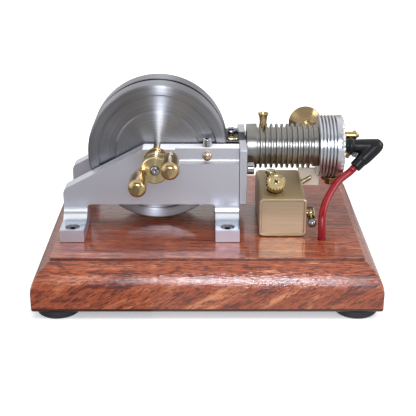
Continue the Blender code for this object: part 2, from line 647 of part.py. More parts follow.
def make_valve_gear():
    """Cam gear, push rod, rocker and valves on the far side and the head's end."""
    place = cam_place()
    post = [
        (0, FRAME_IN + 1), (STUB, FRAME_IN + 1), (STUB, GEAR_Y + GEAR_WIDE + CAM_WIDE + GAP),
        (4.0, GEAR_Y + GEAR_WIDE + CAM_WIDE + GAP), (4.0, GEAR_Y + GEAR_WIDE + CAM_WIDE + 2),
        (0, GEAR_Y + GEAR_WIDE + CAM_WIDE + 2),
    ]
    turned("cam_post", post, place, Y, "steel", 16)
    cam = body("cam_axis", place)
    gap_at = mesh_angle() + math.pi + math.pi / CAM_TEETH
    wheel = gear("cam_gear", CAM_TEETH, gap_at, place, "brass", cam)
    nose = 3.0
    lobe = arc((0, 0), CAM_BASE, -110, 110, 14)
    lobe += arc((nose - CAM_BASE - CAM_LIFT, 0), nose, 125, 235, 6)
    cam_y = GEAR_Y + GEAR_WIDE
    lobe_solid = prism("cam_lobe", lobe, cam_y - 1, cam_y + CAM_WIDE, place, "Y", None)
    combine(wheel, "UNION", lobe_solid)
    combine(wheel, "DIFFERENCE", hidden_rod("cam_bore", STUB + GAP, GEAR_Y - 2, cam_y + 9, place, Y))
    level = AXIS_Z - VALVE_DROP
    tappet = place.x + CAM_BASE + CAM_LIFT + GAP
    push = body("pushrod_slide", (tappet, ROD_Y, level))
    stop = ROCKER_X - ROCKER_HALF - GAP - tappet
    profile = [
        (0, 0), (2.1, 0), (2.1, 2.2), (ROD_RADIUS, 2.6), (ROD_RADIUS, stop - 0.4),
        (ROD_RADIUS - 0.4, stop), (0, stop),
    ]
    turned("pushrod", profile, (tappet, ROD_Y, level), X, "steel", 12, push)
    guide = round_box(ROD_Y - FRAME_OUT + 4.0, 8.0, 1.6)
    middle = (FRAME_OUT + GAP + (ROD_Y - FRAME_OUT + 4.0) / 2, level)
    outline = [(middle[0] + y, middle[1] + z) for y, z in guide]
    block = prism("pushrod_guide", outline, 6.0, 14.0, (0, 0, 0), "X", "bright")
    hole = hidden_rod("guide_hole", ROD_RADIUS + GAP, 4, 16, (0, ROD_Y, level), X, 16)
    combine(block, "DIFFERENCE", hole)
    make_rocker(level)
    make_valve("exhaust_valve", (VALVE_BACK, level), ROCKER_X - ROCKER_HALF - GAP, CAM_LIFT)
    make_valve("inlet_valve", (INLET_BACK, AXIS_Z + INLET_UP), HEAD_END + 10.2, 0.0)


def rocker_y():
    """The rocker's pivot, half way between the push rod and the exhaust valve."""
    return (ROD_Y + VALVE_BACK) / 2


def make_rocker(level):
    """A flat rocker on an upright pin, carried by a bracket on the head's end."""
    y, reach = rocker_y(), (ROD_Y - VALVE_BACK) / 2
    pivot = (ROCKER_X, y, level)
    turn = body("rocker_axis", pivot)
    half = ROCKER_HALF
    outline = [
        *arc((0, reach), half, 0, 180, 6), (-half - 1.4, 2.4), (-half - 1.4, -2.4),
        *arc((0, -reach), half, 180, 360, 6), (half + 1.4, -2.4), (half + 1.4, 2.4),
    ]
    arm = prism("rocker_arm", outline, -2, 2, pivot, "Z", "bright", turn)
    combine(arm, "DIFFERENCE", hidden_rod("rocker_hole", 1.6 + GAP, -5, 5, pivot, Z, 20))
    plate = [(9.5, -14.5), (y + 4, -14.5), (y + 4, -2.6), (9.5, -2.6)]
    plate = [(v, level + 2.3 + w) for v, w in plate]
    bracket = prism("rocker_bracket", plate, HEAD_END + GAP, HEAD_END + 2.8, (0, 0, 0), "X", "bright")
    boss = 3.5
    lug = [
        (HEAD_END + 1, y - boss), (ROCKER_X, y - boss), *arc((ROCKER_X, y), boss, -90, 90, 8),
        (HEAD_END + 1, y + boss),
    ]
    shelf = prism("rocker_shelf", lug, level - 5.2, level - 2 - GAP, (0, 0, 0), "Z", None)
    pin = hidden_rod("rocker_pin", 1.6, -4, 3.4, pivot, Z, 20)
    combine(bracket, "UNION", shelf, pin)


def make_valve(name, at, end, lift):
    """A poppet valve with a brass spring retainer on its stem."""
    slide = body(f"{name}_slide", (HEAD_X, at[0], at[1]))
    shut = 1.2 - GAP - lift
    stop = end - HEAD_X
    flange = stop - 2.2
    profile = [
        (0, shut - 1.2), (VALVE_HEAD, shut - 1.2), (VALVE_HEAD, shut - 0.6), (VALVE_STEM, shut),
        (VALVE_STEM, HEAD_LONG + 2.6), (2.2, HEAD_LONG + 2.6), (2.2, flange - 1), (3.0, flange - 1),
        (3.0, flange + 0.4), (VALVE_STEM, flange + 0.6), (VALVE_STEM, stop), (0, stop),
    ]
    turned(name, profile, (HEAD_X, *at), X, "brass", 12, slide)


def make_carburettor():
    """A barrel carburettor behind the head, its horn, its needle and the exhaust stub below."""
    level = AXIS_Z
    port_x, horn_x, barrel_y = HEAD_X + 6.5, HEAD_X - 2.6, HEAD_RADIUS + 9.0
    flange, collar = HEAD_RADIUS + GAP, barrel_y + 10.5
    port = [
        (0, flange), (6.4, flange), (6.4, flange + 2.4), (3.6, flange + 2.8), (3.6, barrel_y),
        (0, barrel_y),
    ]
    flow = turned("carburettor_body", port, (port_x, 0, level), Y, "brass", 18)
    across = rod(4.2, horn_x - 5.0, port_x + 5.5)
    mouth = [
        (0, barrel_y), (3.4, barrel_y), (3.4, collar - 1.5), (4.4, collar - 1.5), (4.4, collar),
        (0, collar),
    ]
    throat = hidden_rod("carburettor_throat", 2.2, barrel_y - 1, collar + 1, (horn_x, 0, level), Y)
    needle_at = (0, barrel_y, level)
    needle_hole = hidden_rod("needle_hole", 1.5 + GAP, port_x + 1, port_x + 9, needle_at, X, 16)
    combine(
        flow, "UNION", turned("carburettor_barrel", across, needle_at, X, None, 18),
        turned("carburettor_mouth", mouth, (horn_x, 0, level), Y, None, 18),
    )
    combine(flow, "DIFFERENCE", throat, needle_hole)
    low = collar + GAP
    horn = [
        (2.2, low), (4.4, low), (4.8, low + 1.5), (6.2, low + 4.6), (8.4, low + 7.6),
        (10.2, low + 9.4), (10.4, low + 10.2), (9.6, low + 10.2), (7.6, low + 8.2),
        (4.6, low + 4.6), (3.0, low + 2.0),
    ]
    turned("intake_bell", horn, (horn_x, 0, level), Y, "brass", 24)
    start = port_x + 5.5 + GAP
    turn = body("needle_turn", (start, barrel_y, level))
    needle = [
        (0, -3.5), (1.5, -3.5), (1.5, 1.2), (3.4, 1.6), (3.4, 5.4), (2.8, 6.0), (0, 6.0),
    ]
    turned("needle_screw", needle, (start, barrel_y, level), X, "brass", 12, turn)
    top = -HEAD_RADIUS - GAP
    pipe = [
        (2.0, top - 5.0), (2.9, top - 5.0), (3.1, top - 4.6), (3.1, top - 2.1), (5.4, top - 1.9),
        (5.4, top), (2.0, top),
    ]
    turned("exhaust_pipe", pipe, (HEAD_X + 8.2, 0, AXIS_Z), Z, "brass", 18)


def make_tank():
    """A brass tank of rounded section with a rimmed front, a lug, filler, tap and outlet."""
    level = DECK + GAP + TANK_HIGH / 2
    at = (TANK_X, 0, level)
    section = round_box(TANK_WIDE, TANK_HIGH, TANK_CORNER)
    tank = prism("fuel_tank", section, TANK_FRONT, TANK_BACK, at, "Y", "brass")
    panel = round_box(TANK_WIDE - 2 * TANK_RIM, TANK_HIGH - 2 * TANK_RIM, TANK_CORNER - 1)
    front = prism("front_recess", panel, TANK_FRONT - 1, TANK_FRONT + 1.0, at, "Y", None)
    back = prism("back_recess", panel, TANK_BACK - 1.0, TANK_BACK + 1, at, "Y", None)
    combine(tank, "DIFFERENCE", front, back)
    wall = TANK_X + TANK_WIDE / 2
    lug = [
        (wall - 1, LUG_UP), (wall + LUG_LONG, LUG_UP), (wall + LUG_LONG, LUG_UP + LUG_HIGH - 2.4),
        *arc((wall + LUG_LONG - 2.4, LUG_UP + LUG_HIGH - 2.4), 2.4, 0, 90, 4), (wall - 1, LUG_UP + LUG_HIGH),
    ]
    lug_at = (0, TANK_BACK, DECK)
    combine(tank, "UNION", prism("tank_lug", lug, -LUG_THICK, 0, lug_at, "Y", None))
    top = DECK + GAP + TANK_HIGH
    lean = Vector((0, -math.sin(NECK_TILT), math.cos(NECK_TILT)))
    seat = Vector((NECK_X, NECK_Y, top))
    well = turned("neck_well", rod(4.2 + GAP, -7.0, 12), seat, lean, None, 24)
    combine(tank, "DIFFERENCE", well)
    neck = [
        (2.6, -5.0), (4.2, -5.0), (4.2, NECK_LONG - 2.2), (4.8, NECK_LONG - 2.0), (4.8, NECK_LONG - GAP),
        (2.6, NECK_LONG - GAP),
    ]
    turned("filler_neck", neck, seat, lean, "brass", 18)
    turn = body("filler_turn", seat)
    cap = [
        (0, NECK_LONG), (CAP_RADIUS - 0.4, NECK_LONG), (CAP_RADIUS, NECK_LONG + 0.4),
        (CAP_RADIUS, NECK_LONG + CAP_THICK - 0.5), (CAP_RADIUS - 0.6, NECK_LONG + CAP_THICK),
        (0.8, NECK_LONG + CAP_THICK), (0.8, NECK_LONG + 1.2), (0, NECK_LONG + 1.2),
    ]
    turned("filler_cap", cap, seat, lean, "brass", 24, turn)
    vent = [(0, GAP), (3.4, GAP), (3.4, 2.0), (2.2, 3.2), (0, 3.4)]
    turned("tank_vent", vent, (NECK_X - 1, 2.0, top), Z, "brass", 16)
    nipple = [(0, 1.4), (1.5, 1.4), (1.5, 6.6), (1.1, 7.0), (0, 7.0)]
    rise = Vector((math.cos(OUTLET_TILT), 0, math.sin(OUTLET_TILT)))
    turned("fuel_outlet", nipple, (wall, 0, top - 3.6), rise, "brass", 12)
    make_tap(wall)


def make_tap(wall):
    """The fuel tap: a body screwed to the tank's wall and a ball-ended spindle."""
    at = Vector((wall + GAP + 2.8, TANK_FRONT + 8, TAP_Z))
    lean = Vector((0, -math.cos(TAP_TILT), -math.sin(TAP_TILT)))
    stem = [(0, -2.8), (2.6, -2.8), (2.6, 0), (0, 0)]
    barrel = [(0, -2.6), (2.8, -2.6), (2.8, 2.2), (2.2, 2.8), (2.2, 4.0), (0, 4.0)]
    tap = turned("fuel_tap_body", barrel, at, lean, "brass", 16)
    combine(tap, "UNION", turned("fuel_tap_stem", stem, at, X, None, 14))
    turn = body("tap_turn", at)
    ball = [(0, 4.0 + GAP), (1.2, 4.0 + GAP), (1.2, 6.4)]
    sweep = [math.radians(30 + 25 * k) for k in range(6)]
    ball += [(2.6 * math.sin(a), 8.8 - 2.6 * math.cos(a)) for a in sweep]
    ball += [(0, 11.4)]
    turned("fuel_tap_spindle", ball, at, lean, "bright", 14, turn)


make_base()
make_frames()
make_end_plate()
make_cylinder()
make_ignition()
make_crank()
make_piston()
make_valve_gear()
make_carburettor()
make_tank()
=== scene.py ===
"""Looks for the model petrol engine: finishes, fine turnings, the ignition lead, light and camera.

Sizes in the classes are millimetres in the part's own frame: X runs along the cylinder towards the
head, Y runs away from the viewer and Z is up.
"""

import logging
import math
from collections.abc import Callable, Iterator
from contextlib import contextmanager
from dataclasses import dataclass, field
from enum import Enum
from functools import partial

import bpy
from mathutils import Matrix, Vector

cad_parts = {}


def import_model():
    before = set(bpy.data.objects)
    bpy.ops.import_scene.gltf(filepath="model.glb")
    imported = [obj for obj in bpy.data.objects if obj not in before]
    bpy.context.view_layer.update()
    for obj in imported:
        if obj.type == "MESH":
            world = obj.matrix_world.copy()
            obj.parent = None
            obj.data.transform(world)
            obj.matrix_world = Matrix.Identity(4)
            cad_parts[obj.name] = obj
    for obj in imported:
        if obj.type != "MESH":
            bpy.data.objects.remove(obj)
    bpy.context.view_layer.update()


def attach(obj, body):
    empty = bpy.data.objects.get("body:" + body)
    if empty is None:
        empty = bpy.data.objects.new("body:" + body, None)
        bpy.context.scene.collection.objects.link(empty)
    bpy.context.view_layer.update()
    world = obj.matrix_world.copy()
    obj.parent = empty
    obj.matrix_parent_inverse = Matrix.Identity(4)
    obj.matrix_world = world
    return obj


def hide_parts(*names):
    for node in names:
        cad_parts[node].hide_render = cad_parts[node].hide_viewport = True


LOG = logging.getLogger("model_engine")
MM = 0.001
Point = tuple[float, float, float]
Pair = tuple[float, float]
Profile = list[Pair]
Tree, Node, Piece = bpy.types.NodeTree, bpy.types.Node, bpy.types.Object

# Places that several sub-assemblies share
DECK = 32.0
AXIS_Z = 74.0
CRANK = (-28.4, 0.0, AXIS_Z)
CYLINDER = (0.0, 0.0, AXIS_Z)
FRAME_OUT = 25.0
FRAME_TOP = 80.0
PLATE_FACE = 22.4
BARREL_X = 22.7
HEAD_X = 64.4
HEAD_END = 78.6
PLUG = (0.0, -4.6, AXIS_Z + 1.2)
LEAD_HOLE = (64.3, -40.0, DECK)

# Tool marks, pits and skin are a tenth of a millimetre deep, in metres for the bump
RELIEF = 0.0001
# Points this near each other, in metres, are one: in a turning, and in a CAD node's loose triangles
WELD, CAD_WELD = 1e-6, 2e-6


class Axis(Enum):
    """The lines that turned pieces run along."""

    X = (1.0, 0.0, 0.0)
    Y = (0.0, 1.0, 0.0)
    Z = (0.0, 0.0, 1.0)
    NEAR = (0.0, -1.0, 0.0)
    FILLER = (0.0, -0.6691306, 0.7431448)
    TAP = (0.0, -0.9612617, -0.2756374)
    OUTLET = (0.8571673, 0.0, 0.5150381)

    @property
    def line(self) -> Vector:
        """The direction as a vector."""
        return Vector(self.value)


class Joined(Enum):
    """What one solid does to another."""

    CUTS = "DIFFERENCE"
    ADDS = "UNION"


def linear(code: str) -> tuple[float, float, float, float]:
    """Turn an sRGB hex colour to linear.

    Args:
        code: six hex digits after a hash.

    Returns:
        The linear colour with an alpha of one.
    """
    parts = [int(code[k:k + 2], 16) / 255 for k in (1, 3, 5)]
    parts = [c / 12.92 if c <= 0.04045 else ((c + 0.055) / 1.055) ** 2.4 for c in parts]
    return (*parts, 1.0)


def plug(tree: Tree, node: Node, inputs: dict) -> None:
    """Give a node its values and links.

    Args:
        tree: the node's tree.
        node: the node.
        inputs: by name or number, a value, a socket to link from, or a node whose first live output is taken.
    """
    for key, value in inputs.items():
        if isinstance(value, Node):
            value = next(out for out in value.outputs if out.enabled)
        if isinstance(value, bpy.types.NodeSocket):
            tree.links.new(value, node.inputs[key])
        else:
            node.inputs[key].default_value = value


def add_node(tree: Tree, kind: str, inputs: dict | None = None, **settings: object) -> Node:
    """Add a shader node with its settings and links.

    Args:
        tree: the tree to add to.
        kind: the node's type, after "ShaderNode".
        inputs: what plug takes.
        **settings: the node's own properties.

    Returns:
        The new node.
    """
    made = tree.nodes.new(f"ShaderNode{kind}")
    for key, value in settings.items():
        setattr(made, key, value)
    plug(tree, made, inputs or {})
    return made


@dataclass(frozen=True)
class Finish:
    """A surface finish, made into a material the first time that it is used."""

    name: str
    tone: str
    roughness: float
    metallic: float = 0.0

    def material(self) -> bpy.types.Material:
        """Make the finish's material, once.

        Returns:
            The material.
        """
        made = bpy.data.materials.get(self.name)
        if not made:
            made = bpy.data.materials.new(self.name)
            made.use_nodes = True
            tree = made.node_tree
            plain = {"Base Color": linear(self.tone), "Roughness": self.roughness, "Metallic": self.metallic}
            plug(tree, tree.nodes["Principled BSDF"], plain | self.dress(tree))
        return made

    def dress(self, tree: Tree) -> dict:
        """What the finish's pattern gives the shader; a plain finish gives nothing."""
        return {}

    def grain(self, tree: Tree, scale: Point = (1.0, 1.0, 1.0), turn: Point = (0.0, 0.0, 0.0)) -> Node:
        """Object coordinates, turned and scaled.

        Args:
            tree: the material's tree.
            scale: repeats per metre along each line.
            turn: angles in degrees about each line.

        Returns:
            The node of the mapped vector.
        """
        coords = add_node(tree, "TexCoord").outputs["Object"]
        angles = tuple(math.radians(a) for a in turn)
        turned_to = add_node(tree, "Mapping", {"Vector": coords, "Rotation": angles})
        return add_node(tree, "VectorMath", {0: turned_to, 1: scale}, operation="MULTIPLY")

    def split(self, tree: Tree, which: str) -> bpy.types.bpy_prop_collection:
        """The X, Y and Z sockets of one of the texture coordinates."""
        return add_node(tree, "SeparateXYZ", {0: add_node(tree, "TexCoord").outputs[which]}).outputs

    def marked(self, tree: Tree, marks: Node, relief: Node, pale: str, streak: float, depth: float) -> dict:
        """Let a pattern of marks streak the colour and the gloss, and another dent the surface.

        Args:
            tree: the material's tree.
            marks: the pattern that streaks.
            relief: the pattern that dents.
            pale: the colour between the marks.
            streak: how far the roughness goes up and down with them.
            depth: how strong the dents are.

        Returns:
            What the shader's sockets get.
        """
        return {
            "Base Color": add_node(tree, "MixRGB", {0: marks, 1: linear(self.tone), 2: linear(pale)}),
            "Roughness": add_node(tree, "MapRange", {
                "Value": marks, "To Min": self.roughness - streak, "To Max": self.roughness + streak,
            }),
            "Normal": add_node(tree, "Bump", {"Height": relief, "Strength": depth, "Distance": RELIEF}),
        }


@dataclass(frozen=True)
class VarnishedHardwood(Finish):
    """Planed red hardwood under gloss varnish: long streaks on top, short slanting flecks on the sides."""

    dark: str = "#5d2114"
    pale: str = "#c87f56"
    pore: str = "#481a0c"
    # Streaks are 2 mm wide and 80 mm long, figure 9 mm wide, pores and flecks 0.6 mm wide and 4 to 6 mm long
    streak: Point = (12.0, 480.0, 480.0)
    figure: Point = (22.0, 50.0, 110.0)
    pores: Point = (170.0, 1600.0, 1600.0)
    flecks: Point = (240.0, 300.0, 1500.0)
    lean: float = 31.0
    # How far up a face looks where sides give way to deck, and where the deck is flat
    deck_face: Pair = (0.2, 0.6)
    flat_face: Pair = (0.8, 0.97)
    # The figure's share on the sides and on the deck, and where dark, tone, tone and pale lie in the mix
    figured: Pair = (0.75, 0.3)
    stops: tuple[float, ...] = (0.4, 0.48, 0.54, 0.65)
    # Where in the noise pores begin and are full, how dark they get and how much they dent
    pitted: Pair = (0.5, 0.61)
    filled: float = 0.8
    dent: float = 0.3
    sheen: Pair = (-0.08, 0.1)
    specular: float = 0.15
    coat: float = 0.9
    coat_roughness: float = 0.07
    coat_index: float = 1.75
    # The varnish sinks into open grain on the sides and lies flat on the deck
    ripple: float = 0.0004
    ripple_side: float = 0.8
    ripple_deck: float = 0.04
    # Painted shade darkens the quirk below the deck and the base's bottom edge, where shade falls
    painted_shade: str = "#3a140b"
    shade_below: float = 6.4
    quirk: float = DECK - 1.0
    quirk_half: float = 0.75
    quirk_shade: float = 0.55

    def dress(self, tree: Tree) -> dict:
        """Mix streaks, figure, pores and flecks into the colour, and let the pores dent the varnish.

        Args:
            tree: the material's tree.

        Returns:
            What the shader's sockets get.
        """
        add = partial(add_node, tree)
        streaks, figure = (
            add("TexNoise", {
                "Vector": self.grain(tree, scale, turn), "Scale": 1.0, "Detail": 5.0, "Roughness": 0.6,
                "Distortion": wander,
            })
            for scale, turn, wander in (
                (self.streak, (0.0, 2.0, 4.0), 0.5), (self.figure, (0.0, self.lean, 8.0), 0.7),
            )
        )
        facing = self.split(tree, "Normal")["Z"]
        low, high = self.deck_face
        upward = add("MapRange", {"Value": facing, "From Min": low, "From Max": high})
        side, deck = self.figured
        share = add("MapRange", {"Value": upward, "To Min": side, "To Max": deck})
        level = add("Mix", {0: share, 2: streaks, 3: figure})
        tint = add("ValToRGB", {"Fac": level})
        elements = tint.color_ramp.elements
        while len(elements) < len(self.stops):
            elements.new(0.5)
        for element, place, code in zip(elements, self.stops, (self.dark, self.tone, self.tone, self.pale)):
            element.position, element.color = place, linear(code)
        dots = add("TexNoise", {
            "Vector": self.grain(tree, self.pores, (0.0, 3.0, 3.0)), "Scale": 1.0, "Detail": 2.0,
        })
        slants = add("TexNoise", {
            "Vector": self.grain(tree, self.flecks, (0.0, self.lean, 0.0)), "Scale": 1.0, "Detail": 3.0,
            "Distortion": 0.8,
        })
        mark = add("Mix", {0: upward, 2: slants, 3: dots})
        low, high = self.pitted
        pits = add("MapRange", {"Value": mark, "From Min": low, "From Max": high, "To Max": self.filled})
        colour = add("MixRGB", {0: pits, 1: tint, 2: linear(self.pore)})
        # Painted shade: the bottom edge and the quirk are mixed towards a dark tone
        height = self.split(tree, "Object")["Z"]
        under = add("Math", {0: height, 1: self.shade_below * MM}, operation="LESS_THAN")
        step = add("Math", {0: height, 1: self.quirk * MM, 2: self.quirk_half * MM}, operation="COMPARE")
        shade_share = add("Math", {0: step, 1: self.quirk_shade, 2: under}, operation="MULTIPLY_ADD", use_clamp=True)
        dent = add("Bump", {"Height": pits, "Strength": self.dent, "Distance": RELIEF}, invert=True)
        low, high = self.flat_face
        open_grain = add("MapRange", {
            "Value": facing, "From Min": low, "From Max": high, "To Min": self.ripple_side,
            "To Max": self.ripple_deck,
        })
        less, more = (self.roughness + change for change in self.sheen)
        return {
            "Base Color": add("MixRGB", {0: shade_share, 1: colour, 2: linear(self.painted_shade)}),
            "Roughness": add("MapRange", {"Value": streaks, "To Min": less, "To Max": more}),
            "Normal": dent,
            "Coat Normal": add("Bump", {
                "Height": mark, "Strength": open_grain, "Distance": self.ripple, "Normal": dent,
            }),
            "Coat Weight": self.coat, "Coat Roughness": self.coat_roughness, "Coat IOR": self.coat_index,
            "Specular IOR Level": self.specular,
        }


@dataclass(frozen=True)
class BlastedAluminium(Finish):
    """Bead-blasted aluminium: an even grey sparkle, with the feet's coves and the top milled, and painted
    lighter as a painted highlight.
    """

    # Blasting pits are 0.1 mm and are drawn at 0.45 mm, or they would not show; handling wears 16 mm clouds
    grit: float = 2200.0
    wear: float = 60.0
    pale: str = "#d3d3dc"
    # Painted highlight: the top and the coves get near-white tones for the light from above, and the flat seats
    # a greyer one; the top is also less metallic
    planed: str = "#fafaff"
    pad: str = "#cfc9d1"
    cove: str = "#eef1f6"
    rest: str = "#c9d0da"
    planed_from: float = FRAME_TOP - 0.2
    planed_metal: float = 0.1
    milled_from: float = 25.4
    milled: float = 0.17
    cove_metal: float = 0.65
    # How far up a face looks where the milling begins, and where a cove turns to the screw's seat
    milled_face: float = 0.12
    seat_face: Pair = (0.93, 0.99)
    # How far the wear moves the roughness, and how strong the pits are where blasted and where milled
    worn: float = 0.06
    pitted: Pair = (0.16, 0.02)

    def dress(self, tree: Tree) -> dict:
        """Speckle the grey, roughen the blasted face, smooth what stands proud of it, and paint the top and the
        coves lighter as a highlight.

        Args:
            tree: the material's tree.

        Returns:
            What the shader's sockets get.
        """
        add = partial(add_node, tree)
        still = self.grain(tree)
        speck = add("TexNoise", {"Vector": still, "Scale": self.grit, "Detail": 2.0})
        cloud = add("TexNoise", {"Vector": still, "Scale": self.wear, "Detail": 3.0})
        place = self.split(tree, "Object")
        facing = self.split(tree, "Normal")["Z"]
        top = add("Math", {0: place["Z"], 1: self.planed_from * MM}, operation="GREATER_THAN")
        out = add("Math", {0: place["Y"]}, operation="ABSOLUTE")
        beyond = add("Math", {0: out, 1: self.milled_from * MM}, operation="GREATER_THAN")
        upward = add("Math", {0: facing, 1: self.milled_face}, operation="GREATER_THAN")
        proud = add("Math", {0: beyond, 1: upward}, operation="MULTIPLY")
        low, high = self.seat_face
        level = add("MapRange", {"Value": facing, "From Min": low, "From Max": high})
        # Painted highlight: where a cove faces less than straight up it gets the near-white tone, and the flat
        # seat a greyer one
        seat = add("MixRGB", {0: level, 1: linear(self.cove), 2: linear(self.rest)})
        colour = add("MixRGB", {0: speck, 1: linear(self.tone), 2: linear(self.pale)})
        for share, other in ((beyond, linear(self.pad)), (proud, seat), (top, linear(self.planed))):
            colour = add("MixRGB", {0: share, 1: colour, 2: other})
        bare = add("MapRange", {"Value": top, "To Min": self.metallic, "To Max": self.planed_metal})
        shine = add("MapRange", {"Value": level, "To Min": self.cove_metal})
        worn = add("MapRange", {
            "Value": cloud, "To Min": self.roughness - self.worn, "To Max": self.roughness + self.worn,
        })
        blasted, cut = self.pitted
        depth = add("MapRange", {"Value": proud, "To Min": blasted, "To Max": cut})
        return {
            "Base Color": colour,
            "Metallic": add("Mix", {0: proud, 2: bare, 3: shine}),
            "Roughness": add("Mix", {0: proud, 2: worn, 3: self.milled}),
            "Normal": add("Bump", {"Height": speck, "Strength": depth, "Distance": RELIEF}),
        }


@dataclass(frozen=True)
class MilledMetal(Finish):
    """Metal with straight tool or brush marks: fine parallel lines that break up the gloss."""

    # Marks are 0.15 mm apart and are drawn 0.5 mm apart, 40 mm long
    marks: Point = (2000.0, 25.0, 2000.0)
    streak: float = 0.1
    pale: str = "#d9d9dd"
    depth: float = 0.06
    # Upward faces painted a brighter tone with less metal, as lit from above, if any
    lit_top: str = ""
    lit_top_metal: float = 0.65
    lit_top_face: Pair = (0.7, 0.95)

    def dress(self, tree: Tree) -> dict:
        """Streak the colour and the gloss along the marks.

        Args:
            tree: the material's tree.

        Returns:
            What the shader's sockets get.
        """
        lines = add_node(tree, "TexNoise", {
            "Vector": self.grain(tree, self.marks), "Scale": 1.0, "Detail": 3.0, "Roughness": 0.6,
        })
        sockets = self.marked(tree, lines, lines, self.pale, self.streak, self.depth)
        # Painted light: upward faces get their own brighter tone and less metal, as lit from above
        if self.lit_top:
            low, high = self.lit_top_face
            facing = self.split(tree, "Normal")["Z"]
            upward = add_node(tree, "MapRange", {"Value": facing, "From Min": low, "From Max": high})
            sockets["Base Color"] = add_node(tree, "MixRGB", {
                0: upward, 1: sockets["Base Color"], 2: linear(self.lit_top),
            })
            sockets["Metallic"] = add_node(tree, "MapRange", {
                "Value": upward, "To Min": self.metallic, "To Max": self.lit_top_metal,
            })
        return sockets


@dataclass(frozen=True)
class TurnedMetal(Finish):
    """Metal off the lathe: fine rings round the piece's own axis, and a highlight drawn across them."""

    axis: Axis = Axis.Y
    centre: Point = CRANK
    pale: str = "#dcdcdf"
    # Feed marks are 0.1 mm apart and are drawn 0.5 mm apart
    pitch: float = 2000.0
    streak: float = 0.06
    depth: float = 0.05
    drawn: float = 0.0
    # Painted shade on the faces between two turnings, as far along the axis as this, where the slot between
    # them is in shade
    slot_shade_within: float = 0.0
    slot_shade: str = "#232325"

    def dress(self, tree: Tree) -> dict:
        """Make rings from the distance to the axis and the place along it.

        Args:
            tree: the material's tree.

        Returns:
            What the shader's sockets get.
        """
        add = partial(add_node, tree)
        coords = add("TexCoord").outputs["Object"]
        centre, line = tuple(c * MM for c in self.centre), self.axis.line
        off = add("VectorMath", {0: coords, 1: centre}, operation="SUBTRACT")
        along = add("VectorMath", {0: off, 1: line}, operation="DOT_PRODUCT")
        foot = add("VectorMath", {0: line, "Scale": along}, operation="SCALE")
        across = add("VectorMath", {0: off, 1: foot}, operation="SUBTRACT")
        radius = add("VectorMath", {0: across}, operation="LENGTH")
        rings = add("CombineXYZ", {"X": radius, "Y": along})
        marks = add("TexNoise", {
            "Vector": rings, "Scale": self.pitch, "Detail": 3.0, "Roughness": 0.6,
        }, noise_dimensions="2D")
        sockets = self.marked(tree, marks, marks, self.pale, self.streak, self.depth)
        # Painted shade: faces in the slot are mixed towards a near-black tone
        if self.slot_shade_within:
            away = add("Math", {0: along}, operation="ABSOLUTE")
            inside = add("Math", {0: away, 1: self.slot_shade_within * MM}, operation="LESS_THAN")
            sockets["Base Color"] = add("MixRGB", {0: inside, 1: sockets["Base Color"], 2: linear(self.slot_shade)})
        if self.drawn:
            # A quarter turn from the rings' own direction draws the highlight across them
            letter = {Axis.X: "X", Axis.Y: "Y", Axis.NEAR: "Y"}.get(self.axis, "Z")
            sockets |= {
                "Anisotropic": self.drawn, "Anisotropic Rotation": 0.25,
                "Tangent": add("Tangent", direction_type="RADIAL", axis=letter),
            }
        return sockets


@dataclass(frozen=True)
class MouldedRubber(Finish):
    """Moulded rubber or silicone: a faint skin texture and a soft gloss that wanders."""

    # Skin is drawn at 1.1 mm and the gloss wanders over 7 mm
    skin: float = 900.0
    cloud: float = 140.0
    gloss: float = 0.5
    wander: float = 0.08
    depth: float = 0.12
    pale: str = "#35343a"

    def dress(self, tree: Tree) -> dict:
        """Cloud the colour and the gloss, and give the skin a little relief.

        Args:
            tree: the material's tree.

        Returns:
            What the shader's sockets get.
        """
        still = self.grain(tree)
        cloud = add_node(tree, "TexNoise", {"Vector": still, "Scale": self.cloud, "Detail": 4.0})
        skin = add_node(tree, "TexNoise", {"Vector": still, "Scale": self.skin, "Detail": 2.0})
        sockets = self.marked(tree, cloud, skin, self.pale, self.wander, self.depth)
        return sockets | {"Specular IOR Level": self.gloss}


def shown_rays(tree: Tree) -> Node:
    """One for camera, glossy and transmission rays, else nothing.

    Args:
        tree: the tree to add to.

    Returns:
        The node of that number.
    """
    rays = add_node(tree, "LightPath").outputs
    most = rays["Is Camera Ray"]
    for other in ("Is Glossy Ray", "Is Transmission Ray"):
        most = add_node(tree, "Math", {0: most, 1: rays[other]}, operation="MAXIMUM")
    return most


@dataclass(frozen=True)
class FloorPaper(Finish):
    """White studio paper: it glows a little to the camera, more so away from the object's shadow."""

    glow: Pair = (0.3, 0.6)
    # Where the glow grows, in metres from the middle
    grows: Pair = (0.1, 0.3)

    def dress(self, tree: Tree) -> dict:
        """Let the glow grow with the distance, for the rays that are seen.

        Args:
            tree: the material's tree.

        Returns:
            What the shader's sockets get.
        """
        coords = add_node(tree, "TexCoord").outputs["Object"]
        away = add_node(tree, "VectorMath", {0: coords}, operation="LENGTH")
        (near, far), (least, most) = self.grows, self.glow
        paler = add_node(tree, "MapRange", {
            "Value": away, "From Min": near, "From Max": far, "To Min": least, "To Max": most,
        })
        glow = add_node(tree, "Math", {0: shown_rays(tree), 1: paler}, operation="MULTIPLY")
        return {"Emission Color": linear("#ffffff"), "Emission Strength": glow}


@dataclass(frozen=True)
class FlagFelt(Finish):
    """Lit felt: an even grey in the metal's reflections, with no gloss of its own."""

    glow: str = "#ffffff"

    def dress(self, tree: Tree) -> dict:
        """An even glow."""
        return {"Specular IOR Level": 0.0, "Emission Color": linear(self.glow), "Emission Strength": 1.0}


def brass_about(
    name: str, axis: Axis, centre: Point, drawn: float = 0.0, tone: str = "#ab8f5f", pale: str = "#d8bf92",
) -> TurnedMetal:
    """Turned bright brass: yellow, with rings about one axis that may draw the highlight across."""
    return TurnedMetal(f"turned_brass_{name}", tone, 0.2, 1.0, axis, centre, pale, drawn=drawn)


